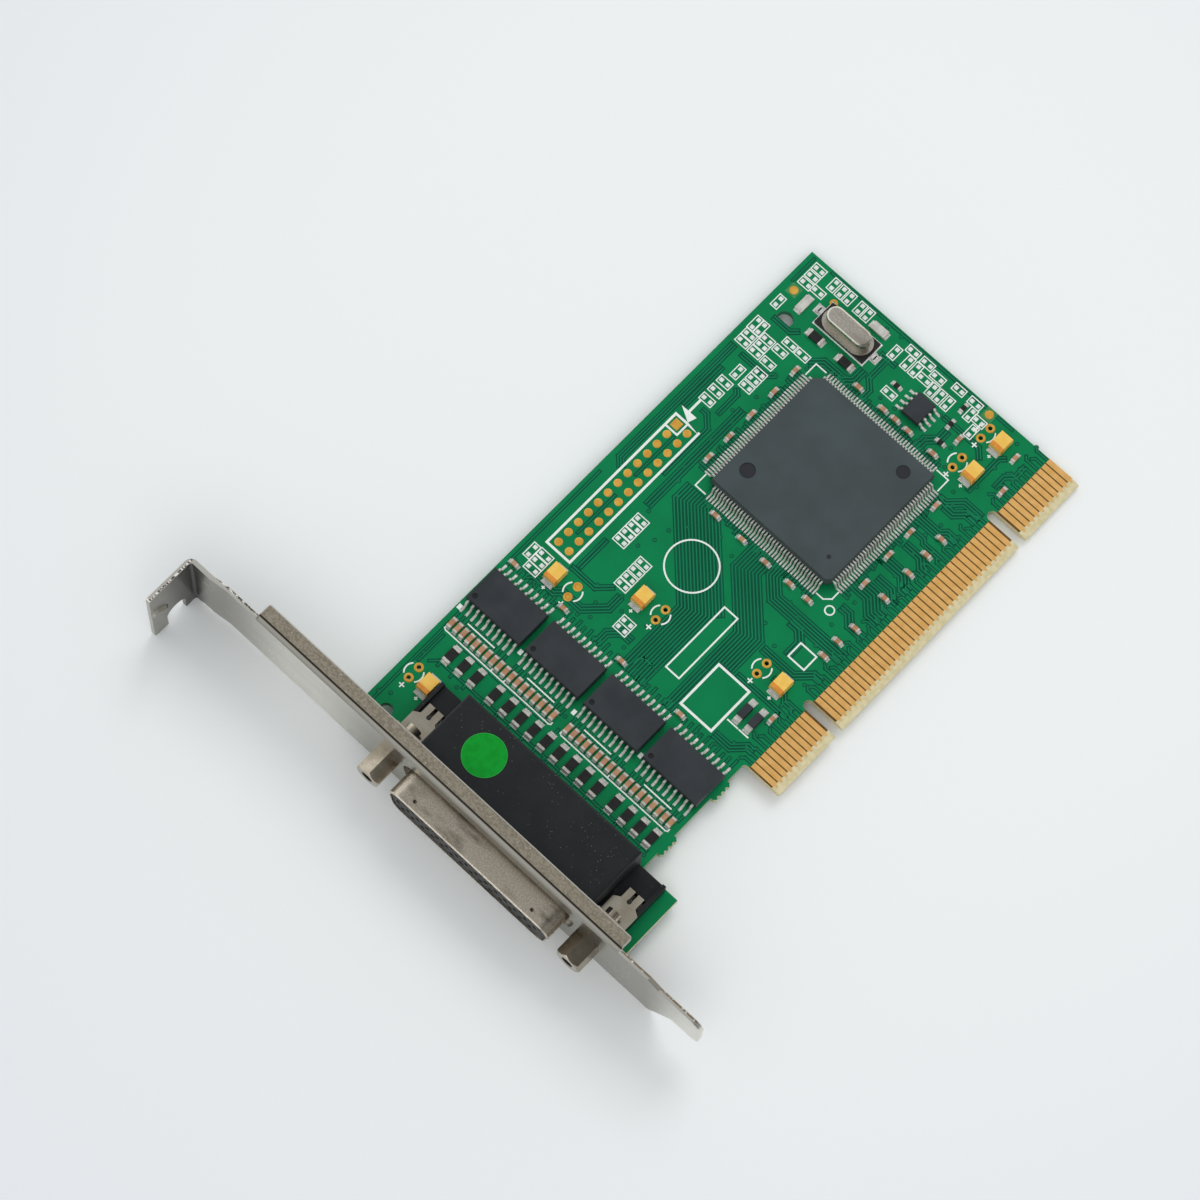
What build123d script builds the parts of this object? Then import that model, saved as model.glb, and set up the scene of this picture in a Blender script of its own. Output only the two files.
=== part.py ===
from build123d import *
import math
import os

# Serial port expansion card, lying with its component side up. Millimetres.
# X runs along the board away from the bracket, Y from the edge contacts towards the top edge,
# and Z out of the component side. The origin is on the component face, at the lower edge of
# the tongue, on the centreline of the key slot nearer the far end.

os.makedirs("parts", exist_ok=True)

# Board
board_thickness = 1.57
board_height = 64.03
board_far_end = 15.07
board_near_end = -104.84
tongue_start = -63.7
tongue_corner = 0.7
shoulder_height = 8.15
tab_end = -89.6
tab_drop = 0.05
bevel_height = 1.25
bevel_depth = 0.4
nib_height = 0.95
nib_starts = (-85.8, -72.3)
nib_length = 4.2
nib_hole_radius = 0.36
nib_holes = 3
mounting_hole = (2.03, board_height - 5.26)
mounting_hole_radius = 1.6
bracket_side_hole = (-99.6, board_height - 4.43)
bracket_side_hole_radius = 1.3
radial_hole_radius = 0.42
drilled_sides = 8
mark_sides = 16
radial_hole_spacing = 2.55
radial_places = [
    (-91.4, board_height - 3.2),
    (-61.55, 51.0),
    (-54.0, 37.02),
    (-48.95, 17.6),
    (3.2, 18.36),
    (10.8, 18.4),
]

# Edge contacts
contact_pitch = 1.27
contact_count = 62
near_key_position = 50.5
far_key_position = 12.5
key_width = 1.93
contact_width = 1.02
contact_bottom = 1.65
contact_length = 5.3
contact_plating = 0.05

# Slot bracket, folded from one sheet
sheet = 0.86
bracket_outer_face = -106.27
bracket_width = 18.42
bracket_top = 14.56
bracket_bend = 1.4
bracket_tip = -19.85
tongue_full_width_to = -8.7
tongue_upper_step = 2.5
tongue_upper_rise = 1.0
tongue_narrow_from = -13.7
tongue_lower = 3.27
tongue_upper = 13.46
tongue_tip_radius = 2.2
flange_reach = 3.57
flange_start = -0.9
flange_end = 83.9
flange_corner = 0.5
jog_start = 91.0
jog_end = 94.5
jog_offset = 0.45
jog_bend = 4
screw_tab_top = 99.8
screw_tab_reach = 10.6
screw_tab_drop = 0.7
screw_tab_drop_from = 97.0
screw_notch_width = 4.42
screw_notch_from_face = 5.13
screw_notch_end = 1.3
screw_tab_corner = 0.6
tab_rib_length = 4.6
tab_rib_width = 2.2
tab_rib_height = 0.55
tab_rib_flank = 40
tab_rib_turn = -42
tab_rib_from_face = 8.75
tab_rib_level = 5.9

# Connector
connector_y = 29.0
connector_z = 5.35
shell_wall = 0.4
shell_width = 38.3
shell_height = 7.9
shell_corner = 2.6
shell_side_angle = 80
shell_reach = 5.03
shell_lip = 0.22
shell_dimple_radius = 0.5
shell_dimple_depth = 0.2
shell_dimple_from_front = 1.5
shell_dimples = (13.8, -13.6)
cutout_margin = 1.3
flange_plate_beyond_screw = 3.0
flange_plate_height = 12.5
flange_plate_corner = 1.5
insulator_recess = 0.25
insulator_clearance = 0.05
socket_margin = 3.12
socket_row_spacing = 1.98
socket_radius = 0.5
socket_depth = 1.2
socket_rows = ((15, -0.57), (15, 0.57), (14, 0.57))
housing_beyond_screw = 2.93
ear_thickness = 3.6
ear_height = 7.6
hood_top = 9.8
hood_wall = 1.1
hood_back = -89.65
hood_to_clip = 0.37
hood_edge = 0.5
foot_floor = 2.2
foot_rim = 3.3
foot_rim_wall = 0.7
foot_back = -89.9
tail_size = 0.6
tail_clearance = 0.08
tail_row_spacing = 2.54
tail_first_row = -98.3
tail_below_board = 1.0

# Jackscrews
jackscrew_beyond_shell = 4.37
jackscrew_flats = 4.76
jackscrew_length = 5.33
jackscrew_chamfer = 0.35
jackscrew_thread_radius = 1.42
jackscrew_bore_radius = 1.2
jackscrew_bore_depth = 4.6
jackscrew_stem_end = -99.6
jackscrew_turns = {"upper": 38, "lower": 20}
screw_clearance = 0.12

# Ground clips
clip_sheet = 0.4
clip_width = 5.7
clip_wide_end = -97.3
clip_shoulder = 0.75
clip_end = -94.26
clip_prong_pair = 3.3
clip_slot = 0.7
clip_slot_start = -96.29
clip_eye_radius = 0.45
clip_leg_top = 7.2
clip_shift = {"upper": 0.0, "lower": -0.25}
clip_lock_below_board = 0.9
clip_lock_hole_radius = 1.8
clip_pocket_margin = 0.25

# Round dot on the hood
dot_radius = 4.0
dot_thickness = 0.1
dot_place = (-95.9, 39.8)

# Moulded chips with gull-wing leads: a shoulder at the body, a drop and a flat foot
controller_place = (-16.37, 33.11)
controller_size = 28.0
controller_underside = 0.3
controller_top = 3.45
controller_leads_each_side = 40
controller_pitch = 0.65
controller_corner = 0.9
controller_key_corner = 1.6
controller_lead_shoulder = 0.55
controller_lead_drop = 0.45
controller_lead_foot = 1.0
controller_lead_thickness = 0.15
controller_lead_width = 0.3
driver_x = -71.9
driver_first_y = 57.01
driver_spacing = 13.97
driver_length = 12.8
driver_width = 7.5
driver_underside = 0.15
driver_top = 2.45
driver_leads_each_side = 10
driver_pitch = 1.27
driver_lead_shoulder = 0.35
driver_lead_drop = 0.3
driver_lead_foot = 0.8
driver_lead_thickness = 0.25
driver_lead_width = 0.42
memory_place = (5.6, 29.95)
memory_length = 4.9
memory_width = 3.9
memory_underside = 0.12
memory_top = 1.6
memory_leads_each_side = 4
memory_lead_shoulder = 0.25
memory_lead_drop = 0.2
memory_lead_foot = 0.65
memory_lead_thickness = 0.2
chip_draft = 7
mark_depth = 0.12
controller_mark_radius = 1.48
controller_mark = (-8.4, 10.4)
controller_recess_radius = 1.3
controller_recess = (10.4, -9.6)
driver_mark_radius = 0.5
driver_mark = (-2.6, 5.3)

# Crystal
crystal_place = (7.7, 48.8)
crystal_base_width = 5.0
crystal_base_length = 11.6
crystal_base_height = 0.7
crystal_skirt_width = 4.95
crystal_skirt_length = 10.9
crystal_skirt_height = 0.45
crystal_can_width = 3.5
crystal_can_length = 9.7
crystal_top = 4.1
crystal_can_edge = 0.5
crystal_lead_width = 1.0
crystal_lead_length = 1.0
crystal_lead_under_base = 2.0
crystal_lead_thickness = 0.25

# Chip parts: (length, width, height)
series_resistor_size = (3.2, 1.6, 0.55)
array_capacitor_size = (2.0, 0.9, 0.8)
small_chip_size = (1.6, 0.8, 0.7)
small_resistor_size = (1.6, 0.8, 0.45)
tantalum_length = 3.5
tantalum_width = 2.8
tantalum_height = 1.9
tantalum_draft = 4
terminal_sheet = 0.15
terminal_length = 1.0
terminal_width = 2.2
diode_length = 2.7
diode_width = 1.6
diode_height = 1.1
diode_terminal_length = 1.0
diode_terminal_width = 1.3
diode_terminal_height = 0.45

series_resistor_x = -84.66
series_resistor_ys = [
    58.25, 55.23, 52.23, 47.81, 44.63, 41.63, 38.56, 35.59,
    32.57, 29.56, 26.51, 23.47, 19.48, 16.44, 13.49, 10.63,
]
array_capacitor_x = -80.37
array_capacitor_tops = (62.21, 34.42)
array_capacitor_pitch = 1.431
array_capacitors_each = 18
flat_capacitors = [
    (-26.75, 50.75), (-21.4, 50.75), (-15.55, 50.75), (-9.66, 50.75), (-4.0, 50.75),
    (-25.05, 15.05), (-18.23, 15.5), (-12.5, 15.6), (-5.6, 15.65), (-54.55, 10.03),
    (10.8, 11.4), (4.6, 8.9), (6.54, 21.0),
]
upright_capacitors = [
    (-64.97, 61.9), (-64.97, 50.1), (-65.0, 36.16), (-65.0, 22.2),
    (-33.9, 42.55), (-34.0, 36.16), (-34.24, 30.24), (-34.2, 24.56), (-34.2, 20.26),
    (1.46, 40.5), (1.4, 34.55), (1.46, 31.7), (1.4, 28.6), (1.3, 22.6),
    (-39.9, 11.3), (-36.2, 11.3), (-32.34, 10.7), (-24.66, 10.75),
    (-18.28, 10.7), (-13.6, 10.7), (-9.6, 10.76),
]
upright_small_resistors = [(6.46, 35.77), (3.85, 23.0)]
flat_small_resistors = [(7.7, 24.0), (11.54, 24.35)]
pull_up_resistors_at = [(3.2, 52.44), (3.2, 45.4)]
flat_ferrite = (6.5, 58.23)
upright_ferrite = (12.22, 45.15)
tantalum_above_housing = 0.45
tantalum_places = [
    (-61.5, 55.3), (-54.05, 41.3), (-49.0, 13.05), (3.35, 15.05), (11.0, 15.05),
]
diode_places = [(-56.8, 14.4), (-56.8, 11.9)]

# Values that follow from the sizes above
board_back = -board_thickness
bracket_bottom = bracket_top - bracket_width
bracket_inner_face = bracket_outer_face + sheet
bracket_mid = bracket_outer_face + sheet / 2
flange_plate_front = bracket_inner_face
flange_plate_back = flange_plate_front + shell_wall
shell_front = bracket_outer_face - shell_reach
ear_back = flange_plate_back + ear_thickness
jackscrew_from_middle = shell_width / 2 + jackscrew_beyond_shell
jackscrew_ys = {
    "upper": connector_y + jackscrew_from_middle,
    "lower": connector_y - jackscrew_from_middle,
}
flange_plate_length = 2 * (jackscrew_from_middle + flange_plate_beyond_screw)
housing_length = 2 * (jackscrew_from_middle + housing_beyond_screw)
hood_length = 2 * (jackscrew_from_middle - clip_width / 2 - hood_to_clip)
socket_pitch = (shell_width - 2 * socket_margin) / (socket_rows[0][0] - 1)
housing_top_end = connector_y + housing_length / 2
tantalum_places.append((-91.5, housing_top_end + tantalum_above_housing + tantalum_width / 2))
clip_ys = {side: y + clip_shift[side] for side, y in jackscrew_ys.items()}
tail_hole_size = tail_size + 2 * tail_clearance


def save(part, label):
    part.label = label
    export_step(part, f"parts/{label}.step")


def contact_places():
    """Centres of the edge contacts along X, leaving out the two key slots."""
    keys = (far_key_position, near_key_position)
    positions = range(1, contact_count + 1)
    kept = [k for k in positions if all(abs(k - key) > 1 for key in keys)]
    return [(k - near_key_position) * contact_pitch for k in kept]


def sockets():
    """Places of the contact holes in the face, as (Y, Z), and the row that each is in."""
    places = []
    for row, (count, shift) in enumerate(socket_rows):
        z = connector_z + (1 - row) * socket_row_spacing
        for k in range(count):
            y = connector_y + shift + (k - (count - 1) / 2) * socket_pitch
            places.append((y, z, row))
    return places


def tail_x(row):
    """The top row of contacts bends down furthest from the bracket."""
    return tail_first_row + (len(socket_rows) - 1 - row) * tail_row_spacing


def d_outline(margin):
    """D-shaped outline of the shell, wide side away from the board, grown by a margin."""
    with BuildSketch(Plane.XY, mode=Mode.PRIVATE) as outline:
        Trapezoid(shell_width, shell_height, shell_side_angle, rotation=180)
        fillet(outline.vertices(), shell_corner)
        offset(amount=margin)
    return outline.sketch


# Circuit board

key_x = {"near": 0.0, "far": (far_key_position - near_key_position) * contact_pitch}
lock_x = clip_end - clip_sheet / 2

with BuildPart() as circuit_board:
    with BuildSketch(Plane.XY.offset(board_back)):
        with BuildLine():
            Polyline(
                (board_near_end, board_height),
                (board_near_end, -tab_drop),
                (tab_end, -tab_drop),
                (tab_end, shoulder_height),
                (tongue_start, shoulder_height),
                (tongue_start, 0),
                (board_far_end, 0),
                (board_far_end, board_height),
                close=True,
            )
        make_face()
        for start in nib_starts:
            with Locations((start, shoulder_height)):
                Rectangle(nib_length, nib_height, align=(Align.MIN, Align.MAX))
            step = nib_length / (nib_holes + 1)
            bites = [(start + k * step, shoulder_height - nib_height) for k in range(nib_holes + 2)]
            with Locations(bites):
                RegularPolygon(nib_hole_radius, drilled_sides, mode=Mode.SUBTRACT)
        for x in key_x.values():
            with Locations((x, 0)):
                Rectangle(
                    key_width, shoulder_height - key_width / 2,
                    align=(Align.CENTER, Align.MIN), mode=Mode.SUBTRACT,
                )
            with Locations((x, shoulder_height - key_width / 2)):
                Circle(key_width / 2, mode=Mode.SUBTRACT)
        with Locations(mounting_hole):
            Circle(mounting_hole_radius, mode=Mode.SUBTRACT)
        with Locations(bracket_side_hole):
            Circle(bracket_side_hole_radius, mode=Mode.SUBTRACT)
        for x, y in radial_places:
            with Locations((x - radial_hole_spacing / 2, y), (x + radial_hole_spacing / 2, y)):
                RegularPolygon(radial_hole_radius, drilled_sides, mode=Mode.SUBTRACT)
        with Locations([(lock_x, y) for y in clip_ys.values()]):
            Circle(clip_lock_hole_radius, mode=Mode.SUBTRACT)
        with Locations([(tail_x(row), y) for y, z, row in sockets()]):
            Rectangle(tail_hole_size, tail_hole_size, mode=Mode.SUBTRACT)
    extrude(amount=board_thickness)
    step_corner = circuit_board.edges().filter_by(Axis.Z).sort_by_distance(
        (tongue_start, shoulder_height, board_back / 2))[0]
    fillet(step_corner, tongue_corner)
    tips = circuit_board.faces().filter_by(Axis.Y).filter_by_position(Axis.Y, -0.01, 0.01)
    for face in tips:
        for edge in face.edges().filter_by(Axis.X):
            chamfer(edge, length=bevel_depth, length2=bevel_height, reference=face)

save(circuit_board.part, "circuit_board")


def edge_contacts(plane, direction):
    """Gold strips on one side of the tongue."""
    with BuildPart() as contacts:
        with BuildSketch(plane):
            with Locations([(x, contact_bottom + contact_length / 2) for x in contact_places()]):
                Rectangle(contact_width, contact_length)
        extrude(amount=direction * contact_plating)
    return contacts.part


save(edge_contacts(Plane.XY, 1), "front_edge_contacts")
save(edge_contacts(Plane.XY.offset(board_back), -1), "back_edge_contacts")

# Slot bracket

tab_mid_y = screw_tab_top - sheet / 2
tab_outer_end = bracket_outer_face - screw_tab_reach
notch_x = bracket_outer_face - screw_notch_from_face
screw_hole_radius = jackscrew_thread_radius + screw_clearance

with BuildPart() as slot_bracket:
    # The strip seen from its side: tongue, face, jog and screw tab.
    with BuildSketch(Plane.XY.offset(bracket_bottom - screw_tab_drop)):
        with BuildLine():
            FilletPolyline(
                (bracket_mid, bracket_tip),
                (bracket_mid, jog_start),
                (bracket_mid - jog_offset, jog_end),
                (bracket_mid - jog_offset, tab_mid_y),
                (tab_outer_end, tab_mid_y),
                radius=[jog_bend, jog_bend, bracket_bend - sheet / 2],
            )
        trace(line_width=sheet)
    extrude(amount=bracket_width + screw_tab_drop)
    # Its outline seen from the bracket's outer face.
    with BuildSketch(Plane.YZ.offset(tab_outer_end)) as face_outline:
        with BuildLine():
            Polyline(
                (screw_tab_top, bracket_bottom - screw_tab_drop),
                (screw_tab_top, bracket_top),
                (tongue_full_width_to + tongue_upper_rise, bracket_top),
                (tongue_full_width_to + tongue_upper_rise - tongue_upper_step, tongue_upper),
                (bracket_tip, tongue_upper),
                (bracket_tip, tongue_lower),
                (tongue_narrow_from, tongue_lower),
                (tongue_full_width_to, bracket_bottom),
                (screw_tab_drop_from, bracket_bottom),
                (screw_tab_drop_from + screw_tab_drop, bracket_bottom - screw_tab_drop),
                close=True,
            )
        make_face()
        fillet(face_outline.vertices().group_by(Axis.X)[0], tongue_tip_radius)
    extrude(amount=bracket_inner_face - tab_outer_end, mode=Mode.INTERSECT)
    # The flange is bent towards the card, so the face stops where its bend starts.
    with BuildSketch(Plane.XY.offset(bracket_top)):
        with Locations((bracket_mid, flange_start)):
            Rectangle(2 * sheet, flange_end - flange_start, align=(Align.CENTER, Align.MIN))
    extrude(amount=-bracket_bend - sheet, mode=Mode.SUBTRACT)
    with BuildSketch(Plane.XZ.offset(-flange_start)):
        with BuildLine():
            FilletPolyline(
                (bracket_mid, bracket_top - bracket_bend - sheet),
                (bracket_mid, bracket_top - sheet / 2),
                (bracket_outer_face + flange_reach, bracket_top - sheet / 2),
                radius=bracket_bend - sheet / 2,
            )
        trace(line_width=sheet)
    extrude(amount=-(flange_end - flange_start))
    corners = slot_bracket.edges().filter_by(Axis.Z).group_by(Axis.X)[-1]
    fillet(corners, flange_corner)
    # Openings in the face for the connector shell and the jackscrews.
    with BuildSketch(Plane.YZ.offset(bracket_outer_face - sheet)):
        with Locations((connector_y, connector_z)):
            add(d_outline(cutout_margin))
        with Locations([(y, connector_z) for y in jackscrew_ys.values()]):
            Circle(screw_hole_radius)
    extrude(amount=3 * sheet, mode=Mode.SUBTRACT)
    # The screw notch is open towards the card's solder side.
    with BuildSketch(Plane.XZ.offset(-screw_tab_top)) as notch:
        notch_centre = screw_notch_end - screw_notch_width / 2
        with Locations((notch_x, notch_centre)):
            Circle(screw_notch_width / 2)
            Rectangle(screw_notch_width, bracket_width, align=(Align.CENTER, Align.MAX))
    extrude(amount=2 * sheet, mode=Mode.SUBTRACT)
    tab_corners = slot_bracket.edges().filter_by(Axis.Y).group_by(Axis.X)[0]
    fillet(tab_corners, screw_tab_corner)
    # A rib pressed out of the tab's inner side stiffens its outer arm.
    with BuildSketch(Plane.XZ.offset(sheet - screw_tab_top)):
        with Locations((bracket_outer_face - tab_rib_from_face, tab_rib_level)):
            SlotOverall(tab_rib_length, tab_rib_width, rotation=tab_rib_turn)
    extrude(amount=tab_rib_height, taper=tab_rib_flank)

save(slot_bracket.part, "slot_bracket")

# Connector shell: a drawn D tube on a flat flange

with BuildPart() as connector_shell:
    with BuildSketch(Plane.YZ.offset(flange_plate_front)):
        with Locations((connector_y, connector_z)):
            RectangleRounded(flange_plate_length, flange_plate_height, flange_plate_corner)
        with Locations([(y, connector_z) for y in jackscrew_ys.values()]):
            Circle(screw_hole_radius, mode=Mode.SUBTRACT)
    extrude(amount=shell_wall)
    with BuildSketch(Plane.YZ.offset(flange_plate_front)):
        with Locations((connector_y, connector_z)):
            add(d_outline(0))
    extrude(amount=-(sheet + shell_reach))
    front = connector_shell.faces().sort_by(Axis.X)[0]
    chamfer(front.edges(), shell_lip)
    with BuildSketch(Plane.YZ.offset(flange_plate_back)):
        with Locations((connector_y, connector_z)):
            add(d_outline(-shell_wall))
    extrude(amount=-(sheet + shell_reach + shell_wall), mode=Mode.SUBTRACT)
    dimple_z = connector_z + shell_height / 2 + shell_dimple_radius - shell_dimple_depth
    dimple_x = shell_front + shell_dimple_from_front
    with Locations([(dimple_x, connector_y + y, dimple_z) for y in shell_dimples]):
        Sphere(shell_dimple_radius, mode=Mode.SUBTRACT)

save(connector_shell.part, "connector_shell")

# Connector insulator: fills the shell and carries the contact holes

with BuildPart() as connector_insulator:
    with BuildSketch(Plane.YZ.offset(shell_front + insulator_recess)):
        with Locations((connector_y, connector_z)):
            add(d_outline(-shell_wall - insulator_clearance))
    extrude(amount=ear_back - shell_front - insulator_recess)
    with BuildSketch(Plane.YZ.offset(shell_front + insulator_recess)):
        with Locations([(y, z) for y, z, row in sockets()]):
            RegularPolygon(socket_radius, drilled_sides)
    extrude(amount=socket_depth, mode=Mode.SUBTRACT)

save(connector_insulator.part, "connector_insulator")

# Connector housing: ears behind the flange, a hood over the bent contacts and two feet

hood_y = (connector_y - hood_length / 2, connector_y + hood_length / 2)

with BuildPart() as connector_housing:
    with BuildSketch(Plane.YZ.offset(flange_plate_back)):
        with Locations((connector_y, 0)):
            Rectangle(housing_length, ear_height, align=(Align.CENTER, Align.MIN))
            Rectangle(hood_length, hood_top, align=(Align.CENTER, Align.MIN))
    extrude(amount=ear_thickness)
    with BuildSketch(Plane.XY):
        with Locations((flange_plate_back, connector_y)):
            Rectangle(hood_back - flange_plate_back, hood_length, align=(Align.MIN, Align.CENTER))
    extrude(amount=hood_top)
    crown = connector_housing.faces().sort_by(Axis.Z)[-1]
    fillet(crown.edges().filter_by(Axis.X) + crown.edges().filter_by(Axis.Y).sort_by(Axis.X)[-1:],
           hood_edge)
    with BuildSketch(Plane.XY):
        with Locations((flange_plate_back, connector_y)):
            Rectangle(foot_back - flange_plate_back, housing_length,
                      align=(Align.MIN, Align.CENTER))
    extrude(amount=foot_floor)
    with BuildSketch(Plane.XY):
        for side in (-1, 1):
            edge = connector_y + side * housing_length / 2
            with Locations((flange_plate_back, edge)):
                Rectangle(foot_back - flange_plate_back, foot_rim_wall,
                          align=(Align.MIN, Align.MIN if side < 0 else Align.MAX))
    extrude(amount=foot_rim)
    # Room for the insulator, the bent contacts and the clips' locks.
    with BuildSketch(Plane.YZ.offset(flange_plate_back)):
        with Locations((connector_y, connector_z)):
            add(d_outline(-shell_wall))
    extrude(amount=ear_thickness, mode=Mode.SUBTRACT)
    with BuildSketch(Plane.XY):
        with Locations((ear_back, connector_y)):
            Rectangle(hood_back - hood_wall - ear_back, hood_length - 2 * hood_wall,
                      align=(Align.MIN, Align.CENTER))
    extrude(amount=hood_top - hood_wall, mode=Mode.SUBTRACT)
    with BuildSketch(Plane.YZ.offset(flange_plate_back)):
        with Locations([(y, connector_z) for y in jackscrew_ys.values()]):
            Circle(screw_hole_radius)
    extrude(amount=ear_thickness, mode=Mode.SUBTRACT)
    with BuildSketch(Plane.XY):
        with Locations([((clip_slot_start + clip_end) / 2, y) for y in clip_ys.values()]):
            Rectangle(clip_end - clip_slot_start + 2 * clip_pocket_margin,
                      clip_prong_pair + 2 * clip_pocket_margin)
    extrude(amount=foot_rim, mode=Mode.SUBTRACT)

save(connector_housing.part, "connector_housing")

# Connector contacts: each leaves the insulator and bends down through the board

with BuildPart() as connector_contacts:
    for row in range(len(socket_rows)):
        z = connector_z + (1 - row) * socket_row_spacing
        bottom = board_back - tail_below_board
        with BuildSketch(Plane.XZ) as bend:
            with BuildLine():
                Polyline(
                    (ear_back, z + tail_size / 2),
                    (tail_x(row) + tail_size / 2, z + tail_size / 2),
                    (tail_x(row) + tail_size / 2, bottom),
                    (tail_x(row) - tail_size / 2, bottom),
                    (tail_x(row) - tail_size / 2, z - tail_size / 2),
                    (ear_back, z - tail_size / 2),
                    close=True,
                )
            make_face()
        contact = extrude(bend.sketch, amount=tail_size / 2, both=True, mode=Mode.PRIVATE)
        with Locations([(0, y, 0) for y, other_z, other_row in sockets() if other_row == row]):
            add(contact)

save(connector_contacts.part, "connector_contacts")

# Jackscrews: hexagon standoffs with a threaded hole, and a stem through to the ground clip


def jackscrew(y, turn):
    nose = bracket_outer_face - jackscrew_length
    corner = jackscrew_flats / math.sqrt(3)
    with BuildPart() as screw:
        with BuildSketch(Plane.YZ.offset(nose)):
            with Locations((y, connector_z)):
                RegularPolygon(corner, 6, rotation=turn)
        extrude(amount=jackscrew_length)
        # Both ends are turned to a short cone, which trims the hexagon's corners.
        with BuildSketch(Plane.XY.offset(connector_z)):
            with BuildLine():
                Polyline(
                    (nose, y),
                    (nose, y + jackscrew_flats / 2),
                    (nose + jackscrew_chamfer, y + corner),
                    (bracket_outer_face, y + corner),
                    (bracket_outer_face, y),
                    close=True,
                )
            make_face()
        revolve(axis=Axis((nose, y, connector_z), (1, 0, 0)), mode=Mode.INTERSECT)
        with BuildSketch(Plane.YZ.offset(bracket_outer_face)):
            with Locations((y, connector_z)):
                Circle(jackscrew_thread_radius)
        extrude(amount=jackscrew_stem_end - bracket_outer_face)
        with BuildSketch(Plane.YZ.offset(nose)):
            with Locations((y, connector_z)):
                Circle(jackscrew_bore_radius)
        extrude(amount=jackscrew_bore_depth, mode=Mode.SUBTRACT)
    return screw.part


for side, y in jackscrew_ys.items():
    save(jackscrew(y, jackscrew_turns[side]), f"{side}_jackscrew")

# Ground clips: a leg behind the ear, a plate over the foot and two locks through the board


def ground_clip(screw_y, y):
    plate_top = foot_rim + clip_sheet
    with BuildPart() as clip:
        with BuildSketch(Plane.XY.offset(foot_rim)):
            with BuildLine():
                half = clip_width / 2
                narrow = clip_prong_pair / 2
                Polyline(
                    (ear_back, y - half),
                    (clip_wide_end, y - half),
                    (clip_wide_end + clip_shoulder, y - narrow),
                    (clip_end, y - narrow),
                    (clip_end, y + narrow),
                    (clip_wide_end + clip_shoulder, y + narrow),
                    (clip_wide_end, y + half),
                    (ear_back, y + half),
                    close=True,
                )
            make_face()
            with Locations((clip_slot_start, y)):
                Circle(clip_eye_radius, mode=Mode.SUBTRACT)
                Rectangle(clip_end - clip_slot_start, clip_slot,
                          align=(Align.MIN, Align.CENTER), mode=Mode.SUBTRACT)
        extrude(amount=clip_sheet)
        with BuildSketch(Plane.YZ.offset(ear_back)):
            with Locations((y, foot_rim)):
                Rectangle(clip_width, clip_leg_top - foot_rim, align=(Align.CENTER, Align.MIN))
            with Locations((screw_y, connector_z)):
                Circle(screw_hole_radius, mode=Mode.SUBTRACT)
        extrude(amount=clip_sheet)
        with BuildSketch(Plane.YZ.offset(clip_end - clip_sheet)):
            for turn in (-1, 1):
                centre = y + turn * (clip_prong_pair + clip_slot) / 4
                with Locations((centre, plate_top)):
                    Rectangle((clip_prong_pair - clip_slot) / 2,
                              plate_top - board_back + clip_lock_below_board,
                              align=(Align.CENTER, Align.MAX))
        extrude(amount=clip_sheet)
    return clip.part


for side, y in jackscrew_ys.items():
    save(ground_clip(y, clip_ys[side]), f"{side}_ground_clip")

# Round dot stuck on the hood

with BuildPart() as inspection_dot:
    with BuildSketch(Plane.XY.offset(hood_top)):
        with Locations(dot_place):
            Circle(dot_radius)
    extrude(amount=dot_thickness)

save(inspection_dot.part, "inspection_dot")

# Moulded chips and their leads


def chip_body(place, length, width, underside, top, lead, marks=(), corners=()):
    """A moulded body that narrows above and below the plane of its leads."""
    middle = (underside + top) / 2
    with BuildPart() as body:
        with BuildSketch(Plane.XY.offset(middle - lead / 2)) as outline:
            with Locations(place):
                Rectangle(length, width)
            for index, size in corners:
                chamfer(outline.vertices().sort_by(Axis.X).sort_by(Axis.Y)[index], size)
        extrude(amount=lead)
        with BuildSketch(Plane.XY.offset(middle + lead / 2)):
            add(outline.sketch)
        extrude(amount=top - middle - lead / 2, taper=chip_draft)
        with BuildSketch(Plane.XY.offset(middle - lead / 2)):
            add(outline.sketch)
        extrude(amount=-(middle - lead / 2 - underside), taper=chip_draft)
        for (x, y), radius in marks:
            with BuildSketch(Plane.XY.offset(top)):
                with Locations((place[0] + x, place[1] + y)):
                    RegularPolygon(radius, mark_sides)
            extrude(amount=-mark_depth, mode=Mode.SUBTRACT)
    return body.part


def gull_wing(start, shoulder, drop, foot, height, thickness, width):
    """One lead that leaves a body at start along X and height, and ends in a flat foot."""
    knee = start + shoulder
    heel = knee + drop
    toe = heel + foot
    with BuildPart() as lead:
        with BuildSketch(Plane.XZ):
            with BuildLine():
                Polyline(
                    (start, height + thickness / 2),
                    (knee + thickness, height + thickness / 2),
                    (heel + thickness, thickness),
                    (toe, thickness),
                    (toe, 0),
                    (heel, 0),
                    (start, height - thickness / 2),
                    close=True,
                )
            make_face()
        extrude(amount=width / 2, both=True)
    return lead.part


def lead_rows(place, lead, count, pitch, turns):
    """Leads in straight rows on the sides that the turns name, counted from +X."""
    with BuildPart() as leads:
        for turn in turns:
            with Locations(Location((place[0], place[1], 0), (0, 0, turn))):
                with GridLocations(0, pitch, 1, count):
                    add(lead)
    return leads.part


controller_body = chip_body(
    controller_place, controller_size, controller_size, controller_underside, controller_top,
    controller_lead_thickness,
    marks=((controller_mark, controller_mark_radius), (controller_recess, controller_recess_radius)),
    corners=((0, controller_corner), (-1, controller_key_corner)),
)
save(controller_body, "controller_body")
controller_lead = gull_wing(
    controller_size / 2, controller_lead_shoulder, controller_lead_drop, controller_lead_foot,
    height=(controller_underside + controller_top) / 2,
    thickness=controller_lead_thickness, width=controller_lead_width,
)
controller_leads = lead_rows(
    controller_place, controller_lead, controller_leads_each_side, controller_pitch, (0, 90, 180, 270)
)
save(controller_leads, "controller_leads")

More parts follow.
